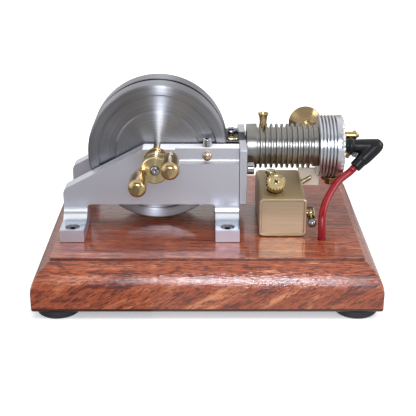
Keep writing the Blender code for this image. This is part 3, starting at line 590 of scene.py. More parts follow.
# Reddish hardwood, planed and varnished: deep, streaky and wet-looking
WOOD = VarnishedHardwood("varnished_hardwood", "#9b4928", 0.4)
# Cast aluminium: blasted faces are pale and even, milled ones shine
CAST = BlastedAluminium("bead_blasted_aluminium", "#bfc0c8", 0.42, 0.75)
# Milled aluminium plate: pale grey with upright cutter marks
PLATE = MilledMetal("milled_aluminium", "#a0a2a8", 0.4, 0.5, (2000.0, 2000.0, 25.0), pale="#cdced4")
# Face-turned steel: mid grey, with one bright fan of light across the rings, and painted shade on the slot
# between the wheels
WHEEL = TurnedMetal(
    "turned_flywheel_steel", "#7f7f84", 0.34, 1.0, Axis.Y, CRANK, "#b6b6bb", streak=0.04, depth=0.03, drawn=1.0,
    slot_shade_within=1.95,
)
# Steel warmed by the engine: brownish grey with a band of light along the fins
BARREL = TurnedMetal("turned_barrel_steel", "#85827e", 0.32, 1.0, Axis.X, CYLINDER, "#aeaba7")
# Turned aluminium: nearly white, with sharp lights on each fin
HEAD = TurnedMetal("turned_head_aluminium", "#bec0c7", 0.3, 1.0, Axis.X, CYLINDER, "#f0f1f6")
# Ground steel: bright grey with fine rings about the crank's line
SHAFT = TurnedMetal("ground_steel_crank_line", "#8f8f92", 0.2, 1.0, Axis.Y, CRANK, "#c9c9cc")
# Brushed sheet brass: soft gold with lines along its length, and a top painted brighter, as lit from above
SHEET_BRASS = MilledMetal(
    "brushed_sheet_brass", "#b1997c", 0.37, 0.9, (30.0, 1800.0, 1800.0), 0.05, "#dac6a9", 0.03, "#b8a27a",
)
# Paler brass sheet, painted almost white as if lit, though the barrel shades it
LIT_LUG_BRASS = MilledMetal("pale_lug_brass", "#ece3d0", 0.5, 0.1, (60.0, 1500.0, 1500.0), 0.05, "#faf3e4")
# Polished brass: yellow, with small clear reflections
BRIGHT_BRASS = MilledMetal(
    "bright_brass_fittings", "#ab8f5f", 0.22, 1.0, (900.0, 900.0, 900.0), 0.05, "#d8bf92", 0.02,
)
# Stainless steel: bright grey; a copy is painted darker for heads sunk in counterbores, as the shade in the
# recess
SCREW_STEEL = MilledMetal(
    "stainless_fastener_steel", "#87878c", 0.14, 1.0, (1200.0, 1200.0, 1200.0), pale="#d2d2d7",
)
SHADED_SCREW_STEEL = MilledMetal(
    "dulled_fastener_steel", "#505055", 0.2, 1.0, (1200.0, 1200.0, 1200.0), pale="#94949a",
)
# Ground steel bar: grey with marks along its length
STEEL = MilledMetal("ground_steel", "#7d7d81", 0.2, 1.0, (40.0, 1800.0, 1800.0), pale="#b0b0b5")
# Black rubber: matt on the feet, a soft shine on the boot
FOOT_RUBBER = MouldedRubber("moulded_black_rubber", "#161618", 0.7)
BOOT_RUBBER = MouldedRubber("moulded_boot_rubber", "#060608", 0.38, depth=0.06, pale="#0e0e11", gloss=0.4)
# Silicone sleeve: clear red with a line of light along it
LEAD_SILICONE = MouldedRubber("red_silicone_sleeve", "#780711", 0.2, depth=0.04, pale="#910f1b", gloss=0.38)


def add_object(name: str, data: bpy.types.ID) -> Piece:
    """Make an object of some data and link it.

    Args:
        name: the object's name.
        data: its mesh, curve, camera or lamp.

    Returns:
        The object.
    """
    made = bpy.data.objects.new(name, data)
    bpy.context.collection.objects.link(made)
    return made


def hold(piece: Piece) -> None:
    """Make one piece the only selected and active one.

    Args:
        piece: the piece.
    """
    bpy.ops.object.select_all(action="DESELECT")
    piece.select_set(True)
    bpy.context.view_layer.objects.active = piece


@contextmanager
def editing(piece: Piece, chosen: Callable[[bpy.types.MeshPolygon], bool] | None = None) -> Iterator[None]:
    """Hold one piece alone in edit mode, with all of it or only some of its faces selected.

    Args:
        piece: the piece.
        chosen: says whether a face is selected; without it, everything is.

    Yields:
        Nothing, while the piece is in edit mode.
    """
    hold(piece)
    bpy.ops.object.mode_set(mode="EDIT")
    bpy.ops.mesh.select_all(action="SELECT")
    if chosen:
        bpy.ops.mesh.select_mode(type="FACE")
        bpy.ops.mesh.select_all(action="DESELECT")
        bpy.ops.object.mode_set(mode="OBJECT")
        for face in piece.data.polygons:
            face.select = chosen(face)
        bpy.ops.object.mode_set(mode="EDIT")
    try:
        yield
    finally:
        bpy.ops.object.mode_set(mode="OBJECT")


def smooth(piece: Piece, angle: float = 38.0) -> Piece:
    """Shade a piece smooth except at sharp edges.

    Args:
        piece: the piece.
        angle: the sharpest bend that is still smooth, in degrees.

    Returns:
        The same piece.
    """
    hold(piece)
    bpy.ops.object.shade_smooth_by_angle(angle=math.radians(angle))
    return piece


def apply(piece: Piece, kind: str, **settings: object) -> Piece:
    """Add a modifier to a piece and apply it.

    Args:
        piece: the piece.
        kind: the modifier's type.
        **settings: the modifier's own properties.

    Returns:
        The same piece.
    """
    hold(piece)
    change = piece.modifiers.new(kind.lower(), kind)
    for key, value in settings.items():
        setattr(change, key, value)
    bpy.ops.object.modifier_apply(modifier=change.name)
    return piece


def even_shading(piece: Piece, angle: float = 38.0) -> Piece:
    """Shade a piece smooth, with its large flat faces kept flat."""
    return apply(smooth(piece, angle), "WEIGHTED_NORMAL", keep_sharp=True)


def join(piece: Piece, other: Piece, how: Joined = Joined.CUTS) -> Piece:
    """Cut a piece with another, or add that to it, and drop the other.

    Args:
        piece: the piece that stays.
        other: the cutter or addition.
        how: what the other does to the piece.

    Returns:
        The piece.
    """
    apply(piece, "BOOLEAN", object=other, operation=how.value)
    bpy.data.objects.remove(other, do_unlink=True)
    return piece


def eased(profile: Profile, ease: float) -> Profile:
    """Round a profile's corners, as a file breaks an edge.

    Args:
        profile: points that start and end on the axis, or go round a ring.
        ease: how far from the corner the rounding starts.

    Returns:
        The rounded profile.
    """
    ring = profile[0][0] > 0
    result = []
    for k, point in enumerate(profile):
        if not ring and k in (0, len(profile) - 1):
            result.append(point)
            continue
        here = Vector(point)
        back, on = Vector(profile[k - 1]) - here, Vector(profile[(k + 1) % len(profile)]) - here
        # Less than half of either side, so that two roundings never meet
        reach = min(ease, 0.45 * back.length, 0.45 * on.length)
        start, end = here + back.normalized() * reach, here + on.normalized() * reach
        for t in (0.0, 0.3, 0.7, 1.0):
            result.append(tuple((1 - t) ** 2 * start + 2 * t * (1 - t) * here + t * t * end))
    return result


def arc(middle: Pair, reach: Pair, angles: range) -> Profile:
    """Points along a round or oval arc.

    Args:
        middle: the arc's middle.
        reach: its half width and half height.
        angles: the angle of each point, in degrees.

    Returns:
        The points.
    """
    turns = [math.radians(angle) for angle in angles]
    return [(middle[0] + reach[0] * math.cos(a), middle[1] + reach[1] * math.sin(a)) for a in turns]


def lathe(name: str, profile: Profile, at: Point, axis: Axis | Vector, steps: int) -> Piece:
    """Spin a profile about an axis.

    Args:
        name: the piece's name.
        profile: (radius, along) points, from axis to axis or round a ring.
        at: a point on the axis.
        axis: the line to spin about.
        steps: how many faces go round.

    Returns:
        The turned piece.
    """
    along = axis.line if isinstance(axis, Axis) else axis.normalized()
    out = along.orthogonal().normalized()
    centre = Vector(at) * MM
    points = [centre + (out * r + along * a) * MM for r, a in profile]
    edges = [(k, k + 1) for k in range(len(points) - 1)]
    if profile[0][0] > 0:
        edges.append((len(points) - 1, 0))
    mesh = bpy.data.meshes.new(name)
    mesh.from_pydata(points, edges, [])
    piece = add_object(name, mesh)
    with editing(piece):
        bpy.ops.mesh.spin(steps=steps, angle=math.tau, center=centre, axis=along)
        bpy.ops.mesh.select_all(action="SELECT")
        bpy.ops.mesh.remove_doubles(threshold=WELD)
        bpy.ops.mesh.normals_make_consistent(inside=False)
    return smooth(piece)


def knurl(
    piece: Piece, at: Point, axis: Axis, steps: int, depth: float, low: float, high: float, least: float,
    every: int = 2,
) -> Piece:
    """Press flutes into a turned piece by moving some of its columns of points in.

    Args:
        piece: the turned piece.
        at: the point that it was turned about.
        axis: its axis.
        steps: how many columns it has.
        depth: how deep the flutes are.
        low: where they start along the axis.
        high: where they end.
        least: the smallest radius that is fluted.
        every: how many columns a flute and its land take up.

    Returns:
        The same piece.
    """
    centre, along = Vector(at) * MM, axis.line
    out = along.orthogonal().normalized()
    side = along.cross(out)
    for vertex in piece.data.vertices:
        off = vertex.co - centre
        u, v = off.dot(out), off.dot(side)
        radius = math.hypot(u, v)
        column = round(math.atan2(v, u) / math.tau * steps)
        if low * MM <= off.dot(along) <= high * MM and radius > least * MM and column % every < every / 2:
            vertex.co -= (out * u + side * v) * (depth * MM / radius)
    return piece


def break_edges(piece: Piece, chosen: Callable[[Vector, Vector], bool], width: float, segments: int) -> Piece:
    """Bevel the edges whose two ends pass a test.

    Args:
        piece: the piece.
        chosen: says whether an edge is bevelled, from its ends in millimetres.
        width: how far from the edge the bevel starts.
        segments: how many faces round it.

    Returns:
        The same piece.
    """
    with editing(piece):
        bpy.ops.mesh.select_mode(type="EDGE")
        bpy.ops.mesh.select_all(action="DESELECT")
    points = [v.co / MM for v in piece.data.vertices]
    for edge in piece.data.edges:
        edge.select = chosen(*(points[k] for k in edge.vertices))
    hold(piece)
    bpy.ops.object.mode_set(mode="EDIT")
    bpy.ops.mesh.bevel(offset=width * MM, segments=segments, affect="EDGES", clamp_overlap=True)
    bpy.ops.object.mode_set(mode="OBJECT")
    return piece


def six_sided(name: str, across: float, low: float, high: float, at: Point, axis: Axis) -> Piece:
    """A hexagon bar, for nuts and key holes.

    Args:
        name: the piece's name.
        across: the distance across its flats.
        low: where it starts along the axis.
        high: where it ends.
        at: the point that low and high count from.
        axis: its axis.

    Returns:
        The bar.
    """
    bpy.ops.object.select_all(action="DESELECT")
    turn = Vector((0, 0, 1)).rotation_difference(axis.line)
    bpy.ops.mesh.primitive_cylinder_add(
        vertices=6, radius=across / math.sqrt(3) * MM, depth=(high - low) * MM,
        location=(Vector(at) + axis.line * (low + high) / 2) * MM, rotation=turn.to_euler(),
    )
    made = bpy.context.object
    made.name = made.data.name = name
    bpy.ops.object.transform_apply(location=True, rotation=True, scale=True)
    return made


def eased_copy(node: str, ease: float, segments: int = 2, angle: float = 32.0) -> Piece:
    """A copy of a CAD node with its edges broken.

    Args:
        node: the node's name.
        ease: the width of the broken edges.
        segments: how many faces round each edge.
        angle: the flattest corner that is broken, in degrees.

    Returns:
        The finer piece.
    """
    mesh = bpy.data.objects[node].data.copy()
    mesh.name = f"{node}_fine"
    made = add_object(mesh.name, mesh)
    with editing(made):
        bpy.ops.mesh.customdata_custom_splitnormals_clear()
        bpy.ops.mesh.remove_doubles(threshold=CAD_WELD)
        bpy.ops.mesh.mark_sharp(clear=True)
        bpy.ops.mesh.dissolve_limited(angle_limit=math.radians(0.6))
    apply(
        made, "BEVEL", width=ease * MM, segments=segments, limit_method="ANGLE",
        angle_limit=math.radians(angle), use_clamp_overlap=True, loop_slide=True, miter_outer="MITER_ARC",
    )
    return even_shading(made)


def fit(piece: Piece, body: str, finish: Finish, slot: str, *nodes: str) -> Piece:
    """Dress a piece, put it on its body and let it stand for CAD nodes.

    Args:
        piece: the finished piece.
        body: the body that it moves with.
        finish: its finish.
        slot: the record's material slot; not used.
        *nodes: the CAD nodes that it stands for.

    Returns:
        The same piece.
    """
    piece.data.materials.clear()
    piece.data.materials.append(finish.material())
    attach(piece, body)
    if nodes:
        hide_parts(*nodes)
    LOG.info("%s rides on %s in %s", piece.name, body, finish.name)
    return piece


def turned(
    node: str, profile: Profile, at: Point, axis: Axis, finish: Finish, slot: str = "brass",
    body: str = "engine", steps: int = 48, ease: float = 0.25, flutes: tuple[float, ...] = (),
) -> Piece:
    """Turn the finer form of a CAD node, round its corners and fit it in the node's place.

    Args:
        node: the CAD node.
        profile: its (radius, along) points.
        at: a point on its axis.
        axis: the line that it is turned about.
        finish: its finish.
        slot: the record's material slot.
        body: the body that it moves with.
        steps: how many faces go round.
        ease: how far its corners are rounded, if at all.
        flutes: the depth, ends, least radius and columns that knurl takes.

    Returns:
        The piece.
    """
    made = lathe(f"{node}_fine", eased(profile, ease) if ease else profile, at, axis, steps)
    if flutes:
        knurl(made, at, axis, steps, *flutes)
    return fit(made, body, finish, slot, node)


@dataclass
class CapScrew:
    """A socket cap screw's head: fluted side, rounded rim and a key hole."""

    head: float
    low: float
    high: float
    key: float
    axis: Axis = Axis.Z
    finish: Finish = SCREW_STEEL
    steps: int = 48
    flute: float = 0.16
    rim: float = 0.4
    # The flutes stop this short of the top, and the key hole is this many of its widths deep
    land: float = 0.6
    deep: float = 0.75

    def build(self, name: str, at: Point, node: str) -> None:
        """Turn the head, flute its side and cut the key hole.

        Args:
            name: the screw's name.
            at: the point that low and high count from.
            node: the CAD node that it stands for.
        """
        low, high, head = self.low, self.high, self.head
        profile = eased([(0, low), (head, low), (head, high), (0, high)], self.rim)
        made = lathe(name, profile, at, self.axis, self.steps)
        knurl(made, at, self.axis, self.steps, self.flute, low + self.rim, high - self.land, head * 0.9)
        hole = six_sided(f"{name}_key", self.key, high - self.key * self.deep, high + 1.0, at, self.axis)
        fit(smooth(join(made, hole)), "engine", self.finish, "screws", node)


@dataclass
class View:
    """The camera, where the photograph was taken from."""

    place: Point = (0.395, -509.17, 241.38)
    pitch: float = 22.105
    lens: float = 79.02
    sensor: float = 36.0

    def build(self) -> None:
        """Make the camera and set it."""
        data = bpy.data.cameras.new("camera")
        data.lens, data.sensor_width = self.lens, self.sensor
        data.clip_start, data.clip_end = 0.01, 20.0
        camera = add_object("camera", data)
        camera.location = Vector(self.place) * MM
        camera.rotation_euler = (math.radians(90 - self.pitch), 0, 0)
        bpy.context.scene.camera = camera


@dataclass
class Ignition:
    """Spark plug, moulded elbow boot and the red lead that runs into the base."""

    lead_radius: float = 2.2
    length: float = 0.0585
    exit: Point = (85.4, -10.0, 64.2)
    elbow: Point = (98.3, -5.1, 75.8)
    gap: float = 0.3
    step: int = 5
    voxel: float = 0.22

    def route(self) -> list[Vector]:
        """The lead's line, through the same points as its solid.

        Returns:
            Points along it, in millimetres.
        """
        leave = (Vector(self.exit) - Vector(self.elbow)).normalized()
        start, hole = Vector(self.exit) + leave * self.gap, Vector(LEAD_HOLE)
        marks = [
            start - leave * 4, start, start + leave * 1.5, start + leave * 4,
            Vector((75.0, -18.0, DECK + 26.1)), Vector((68.0, -28.5, DECK + 20.0)),
            Vector((64.6, -36.0, DECK + 13.1)),
            hole + Vector((0, 0, 3.0)), hole - Vector((0, 0, 5.0)), hole - Vector((0, 0, 12.0)),
        ]
        points = []
        for a, b, c, d in zip(marks, marks[1:], marks[2:], marks[3:]):
            for k in range(self.step):
                t = k / self.step
                points.append(0.5 * (
                    2 * b + (c - a) * t + (2 * a - 5 * b + 4 * c - d) * t**2 + (3 * b - a - 3 * c + d) * t**3
                ))
        return points + [marks[-2]]

    def build(self) -> None:
        """The lead as a round curve that goes back into the base, then plug and boot."""
        points = self.route()
        curve = bpy.data.curves.new("ignition_lead_sleeve", "CURVE")
        curve.dimensions = "3D"
        curve.bevel_depth = self.lead_radius * MM
        curve.bevel_resolution = 8
        curve.use_fill_caps = True
        line = curve.splines.new("POLY")
        line.points.add(len(points) - 1)
        for slot, place in zip(line.points, points):
            slot.co = (*(place * MM), 1)
        line.use_smooth = True
        lead = add_object("ignition_lead_sleeve", curve)
        fit(lead, "engine", LEAD_SILICONE, "lead", "ignition_lead")
        self.build_plug()
        self.build_boot()

    def build_plug(self) -> None:
        """The plug with its hexagon."""
        end = HEAD_END
        body = eased([
            (0, end - 1), (3.0, end - 1), (3.0, end + 0.3), (3.6, end + 0.3), (3.6, end + 1.4),
            (2.5, end + 1.8), (2.1, end + 11), (0, end + 11),
        ], 0.2)
        spark = lathe("spark_plug_fine", body, PLUG, Axis.X, 36)
        nut = six_sided("spark_plug_hexagon", 6.8, end + 0.4, end + 1.4, PLUG, Axis.X)
        apply(nut, "BEVEL", width=0.2 * MM, segments=2)
        fit(smooth(join(spark, nut, Joined.ADDS)), "engine", SCREW_STEEL, "steel", "spark_plug")

    def build_boot(self) -> None:
        """The boot's two barrels, moulded into one elbow."""
        end = HEAD_END
        arm = eased([
            (0, end + 2.1), (4.2, end + 2.1), (4.2, end + 2.9), (3.7, end + 3.2), (5.1, end + 3.6),
            (5.1, end + 5.4), (4.0, end + 5.9), (4.0, end + 7.2), (4.2, end + 12.0), (4.3, end + 19.0),
            (3.9, end + 21.2), (2.4, end + 22.9), (0, end + 23.4),
        ], 0.5)
        boot = lathe("plug_boot_moulded", arm, PLUG, Axis.X, 48)
        along = Vector(self.exit) - Vector(self.elbow)
        reach = along.length
        barrel = eased([
            (0, -3.7), (2.4, -3.2), (3.9, -0.9), (4.3, 2.0), (4.2, reach * 0.5), (4.0, reach * 0.66),
            (3.6, reach * 0.72), (3.5, reach), (2.3, reach), (2.3, reach - 2.0), (0, reach - 2.0),
        ], 0.5)
        join(boot, lathe("boot_lower_barrel", barrel, self.elbow, along, 48), Joined.ADDS)
        apply(boot, "REMESH", mode="VOXEL", voxel_size=self.voxel * MM)
        apply(boot, "SMOOTH", factor=0.5, iterations=6)
        fit(smooth(boot, 60), "engine", BOOT_RUBBER, "boot", "plug_boot")


@dataclass
class Plinth:
    """The wooden base and its four rubber feet."""

    spots: tuple[Pair, ...] = ((-81.5, -63), (81.5, -63), (-81.5, 63), (81.5, 63))
    foot_radius: float = 12.0
    foot_high: float = 4.2
    long: float = 190.0
    deep: float = 150.0
    low: float = 4.5
    knee: float = 22.6
    knee_round: float = 8.5
    corner_round: float = 1.2
    deck_round: float = 0.4
    under_round: float = 1.0
    slope: float = 10.0
    quirk: float = 1.7
    hole_radius: float = 2.5

    def build_base(self) -> Piece:
        """Raise a plank, slope its upper edge up to a small quirk, round its edges and bore the lead's hole.

        Returns:
            The base.
        """
        bpy.ops.object.select_all(action="DESELECT")
        size = Vector((self.long, self.deep, self.knee - self.low)) * MM
        middle = (0, 0, (self.knee + self.low) / 2 * MM)
        bpy.ops.mesh.primitive_cube_add(size=1.0, location=middle, scale=size)
        base = bpy.context.object
        base.name = base.data.name = "base_plinth_fine"
        bpy.ops.object.transform_apply(location=True, rotation=True, scale=True)
        inward = (1 - 2 * self.slope / self.long, 1 - 2 * self.slope / self.deep, 1)
        with editing(base, lambda face: face.normal.z > 0.9):
            rise = DECK - self.quirk - self.knee
            bpy.ops.mesh.extrude_region_move(TRANSFORM_OT_translate={"value": (0, 0, rise * MM)})
            bpy.ops.transform.resize(value=inward)
            bpy.ops.mesh.extrude_region_move(TRANSFORM_OT_translate={"value": (0, 0, self.quirk * MM)})
        for chosen, width, segments in (
            (lambda a, b: abs(a.z - b.z) > 1, self.corner_round, 4),
            (lambda a, b: max(abs(a.z - self.knee), abs(b.z - self.knee)) < 0.5, self.knee_round, 14),
            (lambda a, b: min(a.z, b.z) > DECK - 0.01, self.deck_round, 3),
            (lambda a, b: max(a.z, b.z) < self.low + 0.01, self.under_round, 3),
        ):
            break_edges(base, chosen, width, segments)
        r = self.hole_radius
        bore = lathe("lead_bore", [(0, -6), (r, -6), (r, 1), (0, 1)], LEAD_HOLE, Axis.Z, 32)
        return even_shading(join(base, bore))

    def build(self) -> None:
        """Shape the base and turn the feet and their screws."""
        fit(self.build_base(), "engine", WOOD, "wood", "base_plinth")
        r, h = self.foot_radius, self.foot_high
        profile = [(0, 1.5), (3.2, 1.5), (3.2, 0), (r - 0.8, 0), (r, 0.8), (r - 0.4, h), (0, h)]
        screw = eased([(0, 1.3), (2.5, 1.3), (2.5, 0.9), (1.4, 0.4), (0, 0.3)], 0.2)
        for number, (x, y) in enumerate(self.spots, 1):
            at = (x, y, 0)
            turned(f"rubber_foot_{number}", profile, at, Axis.Z, FOOT_RUBBER, "rubber", steps=56, ease=0.5)
            fit(lathe(f"foot_screw_{number}", screw, at, Axis.Z, 24), "engine", SCREW_STEEL, "screws")


@dataclass
class SideFrames:
    """The two cast frames with their screws, oil plug and crank bushes."""

    pads: Pair = (-75.3, 11.3)
    pad_line: float = 39.9
    pad_high: float = 7.4
    sunk: float = 0.7
    ease: float = 0.35
    ledge: Pair = (-18.2, 18.6)
    ledge_in: float = 22.6
    ledge_low: float = 73.8
    sweep: float = 2.6
    top_line: float = 18.9
    names: dict[int, str] = field(default_factory=lambda: {-1: "near", 1: "far"})

    def sweep_cutter(self, side: int) -> Piece:
        """A bar whose section is the sweep between the ledge and the frame's face.

        Args:
            side: -1 for the near frame, 1 for the far one.

        Returns:
            The bar.
        """
        out, drop = FRAME_OUT - self.ledge_in, self.sweep
        section = [(FRAME_OUT + 1, FRAME_TOP + 1), (self.ledge_in, FRAME_TOP + 1)]
        section += arc((FRAME_OUT, self.ledge_low), (out, drop), range(180, 271, 15))
        section.append((FRAME_OUT + 1, self.ledge_low - drop))
        start, end = (x * MM for x in self.ledge)
        mesh = bpy.data.meshes.new("ledge_sweep")
        points = [(start, side * y * MM, z * MM) for y, z in section]
        mesh.from_pydata(points, [], [tuple(range(len(points)))])
        bar = add_object("ledge_sweep", mesh)
        with editing(bar):
            bpy.ops.mesh.extrude_region_move(TRANSFORM_OT_translate={"value": (end - start, 0, 0)})
            bpy.ops.mesh.select_all(action="SELECT")
            bpy.ops.mesh.normals_make_consistent(inside=False)
        return bar

    def build(self) -> None:
        """Break the frames' edges, sweep the ledge into the face, and fit what they carry."""
        # The pad screws sit in counterbores, so their steel is painted darker, as shade
        pad_screw = CapScrew(3.5, self.pad_high - 4.1, self.pad_high - self.sunk, 3.0, finish=SHADED_SCREW_STEEL)
        bush = [(4.3, 15.5), (6.0, 15.5), (6.0, 25.3), (7.2, 25.3), (7.2, 26.9), (4.3, 26.9)]
        for side, name in self.names.items():
            frame = join(eased_copy(f"frame_{name}", self.ease), self.sweep_cutter(side))
            hold(frame)
            bpy.ops.mesh.customdata_custom_splitnormals_clear()
            fit(even_shading(frame, 25.0), "engine", CAST, "frame", f"frame_{name}")
            for number, x in enumerate(self.pads, 1):
                at = (x, side * self.pad_line, DECK)
                pad_screw.build(f"{name}_pad_screw_{number}", at, f"frame_{name}_screw_{number}")
            axis = Axis.Y if side > 0 else Axis.NEAR
            turned(f"bush_{name}", bush, CRANK, axis, brass_about("crank_line", Axis.Y, CRANK, 0.9))
        for number, side in enumerate((-1, 1), 1):
            at = (0, side * self.top_line, FRAME_TOP)
            CapScrew(2.75, 0.1, 4.4, 2.5).build(f"top_screw_{number}", at, f"frame_top_screw_{number}")
        dome = [(0, 0.1), (2.8, 0.1), (2.8, 1.2), (2.3, 2.1), (1.2, 2.6), (0, 2.7)]
        spot = (0, -self.ledge_in, AXIS_Z + 1.4)
        worn = brass_about("oil_plug", Axis.Y, spot, 0.0, "#bfa58a", "#e8d6c0")
        turned("oil_plug", dome, spot, Axis.NEAR, worn, steps=32, ease=0.3)


@dataclass
class EndPlate:
    """The plate that carries the cylinder, its screws, and the studs behind it."""

    screw_y: float = 20.0
    level: float = 67.0
    back: float = 18.3
    stud_y: float = 10.8
    upper: float = 79.6
    lower: float = 74.6
    nut: Pair = (-5.9, -2.6)
    across: float = 4.4
    stud: float = 1.9
    stick: float = 2.5
    pitch: float = 0.5
    thread: float = 0.22

    def build(self) -> None:
        """Fit the plate, a cap screw at each side, and the two studs behind it with their nuts."""
        fit(eased_copy("end_plate", 0.4), "engine", PLATE, "plate", "end_plate")
        for number, side in enumerate((-1, 1), 1):
            at = (PLATE_FACE, side * self.screw_y, self.level)
            CapScrew(3.5, 0.1, 4.2, 3.0, Axis.X).build(f"plate_screw_{number}", at, f"end_plate_screw_{number}")
        self.build_nut()
        low, high = self.nut
        spot, steps = (self.back, self.stud_y, self.lower), 48
        lower = lathe("lower_stud_nut", eased([
            (0, low), (2.3, low), (2.3, high), (1.7, high), (1.7, -0.05), (0, -0.05),
        ], 0.2), spot, Axis.X, steps)
        knurl(lower, spot, Axis.X, steps, 0.3, -5.6, -2.9, 2.0, 4)
        fit(lower, "engine", BRIGHT_BRASS, "brass")

    def build_nut(self) -> None:
        """A hexagon nut on the end of the upper stud, with its corners rounded off by a chamfer."""
        (low, high), at = self.nut, (self.back, self.stud_y, self.upper)
        made = six_sided("upper_stud_nut", self.across, low, high, at, Axis.X)
        apply(made, "BEVEL", width=0.3 * MM, segments=2)
        place = low - 0.2
        thread = [(0.0, place)]
        while place < high + self.stick:
            thread += [(self.stud, place), (self.stud - self.thread, place + self.pitch / 2)]
            place += self.pitch
        thread += [(self.stud - 0.3, place), (0.0, place)]
        join(made, lathe("upper_stud_nut_stud", thread, at, Axis.X, 24), Joined.ADDS)
        fit(smooth(made), "engine", SCREW_STEEL, "screws")


@dataclass
class Cylinder:
    """The finned barrel, the deeper finned head and the oil cup."""

    bore: float = 9.0
    fin: float = 13.0
    root: float = 10.8
    fins: int = 10
    pitch: float = 3.1
    thick: float = 1.5
    draft: float = 0.15
    flange: float = 6.0
    long: float = 41.4
    collar: float = 2.8
    head_fin: float = 18.0
    head_root: float = 14.0
    head_pitch: float = 1.95
    head_thick: float = 0.9
    head_fins: int = 5
    notch: float = 0.5
    cup_along: float = 9.6

    def build(self) -> None:
        """Turn the barrel and head with rounded fins, then the cup."""
        profile = [(self.bore, 0.0), (self.fin, 0.0), (self.fin, self.flange), (self.root, self.flange)]
        start = self.flange + 1.6
        for k in range(self.fins):
            low = start + k * self.pitch
            profile += [
                (self.root, low), (self.fin, low + self.draft), (self.fin, low + self.thick - self.draft),
                (self.root, low + self.thick),
            ]
        collar, edge = self.long - self.collar, self.fin - 0.8
        profile += [(self.root, collar), (edge, collar), (edge, self.long), (self.bore, self.long)]
        at = (BARREL_X, 0, AXIS_Z)
        turned("cylinder_barrel", profile, at, Axis.X, BARREL, "barrel", steps=96, ease=0.22)
        self.build_head()
        cup = [
            (0, 10.8), (2.1, 10.8), (2.15, 15.0), (2.3, 16.8), (2.6, 18.4), (3.1, 19.2), (3.1, 19.9),
            (2.6, 19.9), (2.0, 17.4), (0, 17.0),
        ]
        spot = (BARREL_X + self.cup_along, 0, AXIS_Z)
        turned("oil_cup", cup, spot, Axis.Z, brass_about("oil_cup", Axis.Z, spot), steps=40, ease=0.3)

    def build_head(self) -> None:
        """The head, with small notches round its end cap."""
        profile = [(0.0, 1.2), (self.bore, 1.2), (self.bore, 0.0)]
        for k in range(self.head_fins):
            low = k * self.head_pitch
            profile += [
                (self.head_fin, low), (self.head_fin, low + self.head_thick),
                (self.head_root, low + self.head_thick), (self.head_root, low + self.head_pitch),
            ]
        low, long, rim = self.head_fins * self.head_pitch, HEAD_END - HEAD_X, self.head_fin
        profile += [
            (rim, low), (rim, long - 2.6), (rim, long - 1.0), (rim - 0.8, long), (rim - 1.7, long), (0, long),
        ]
        turned(
            "cylinder_head", profile, (HEAD_X, 0, AXIS_Z), Axis.X, HEAD, "head", steps=144, ease=0.2,
            flutes=(self.notch, long - 2.4, long, rim - 1.2, 4),
        )


@dataclass
class Crank:
    """Both flywheels, their half shafts, the starter and the timing pinion."""

    wheel: float = 39.9
    rim: float = 5.7
    ring: float = 24.4
    half: float = 13.75
    slot: float = 1.7
    dish: float = 2.2
    pocket: float = 22.5
    journal: float = 4.0
    stub: float = 2.5
    far_end: float = 32.7
    hub_face: float = 43.5
    arm: float = 10.0
    tilt: float = 29.0
    knob: float = 5.0
    knob_long: float = 17.0
    dome: float = 3.4

    def build(self) -> None:
        """Turn the wheels and shafts."""
        inner, rim, bore = self.slot + self.dish, self.wheel - self.rim, self.journal + 0.3
        profile = [
            (bore, inner), (self.pocket, inner), (self.pocket, self.slot), (self.wheel - 0.6, self.slot),
            (self.wheel, self.slot + 0.6), (self.wheel, self.half - 0.8), (self.wheel - 0.8, self.half),
            (rim, self.half), (rim - 0.6, self.half - 1.0), (self.ring, self.half - 1.0),
            (self.ring - 0.6, self.half - 0.3), (bore, self.half - 0.3),
        ]
        near = [
            (0, inner), (self.journal, inner), (self.journal, FRAME_OUT + 3.6), (self.stub, FRAME_OUT + 3.6),
            (self.stub, self.hub_face + 0.5), (self.stub - 0.6, self.hub_face + 1.1),
            (0.7, self.hub_face + 1.1), (0, self.hub_face + 0.5),
        ]
        far = [
            (0, inner), (self.journal, inner), (self.journal, FRAME_OUT + 2.0), (self.stub, FRAME_OUT + 2.0),
            (self.stub, self.far_end), (0, self.far_end),
        ]
        for name, axis, shaft in (("near", Axis.NEAR, near), ("far", Axis.Y, far)):
            turned(f"flywheel_{name}", profile, CRANK, axis, WHEEL, "wheel", "crank", 160)
            turned(f"shaft_{name}", shaft, CRANK, axis, SHAFT, "steel", "crank", 40, 0.2)
        washer = [(4.3, 27.2), (6.2, 27.2), (6.2, 28.4), (4.3, 28.4)]
        turned("hub_washer", washer, CRANK, Axis.NEAR, SHAFT, "plate", "crank", ease=0.2)
        fit(eased_copy("crank_pinion", 0.08, 1), "crank", STEEL, "steel", "crank_pinion")
        self.build_starter()

    def build_starter(self) -> None:
        """The hub with its two lugs, and the two domed knobs."""
        # The hub's brass is painted paler than the other turned brass, as a painted highlight for the light its
        # face catches
        gold = brass_about("hub", Axis.Y, CRANK, 0.9, "#dcc08a", "#f8e6ba")
        fit(eased_copy("starter_hub", 0.3), "crank", gold, "brass", "starter_hub")
        low, r, long, dome = self.hub_face + 0.1, self.knob, self.knob_long, self.dome
        profile = [(0, low), (r - 1.2, low), (r - 1.2, low + 0.9), (r, low + 1.6), (r, low + long - dome)]
        profile += arc((r - dome, low + long - dome), (dome, dome), range(15, 90, 15))
        profile += [(r - dome, low + long), (0, low + long)]
        lean = math.radians(self.tilt)
        for number, sign in enumerate((-1, 1), 1):
            reach = sign * self.arm
            at = (CRANK[0] + reach * math.cos(lean), 0.0, CRANK[2] + reach * math.sin(lean))
            brass = brass_about(f"knob_{number}", Axis.Y, at)
            turned(f"starter_knob_{number}", profile, at, Axis.NEAR, brass, body="crank", ease=0.4)


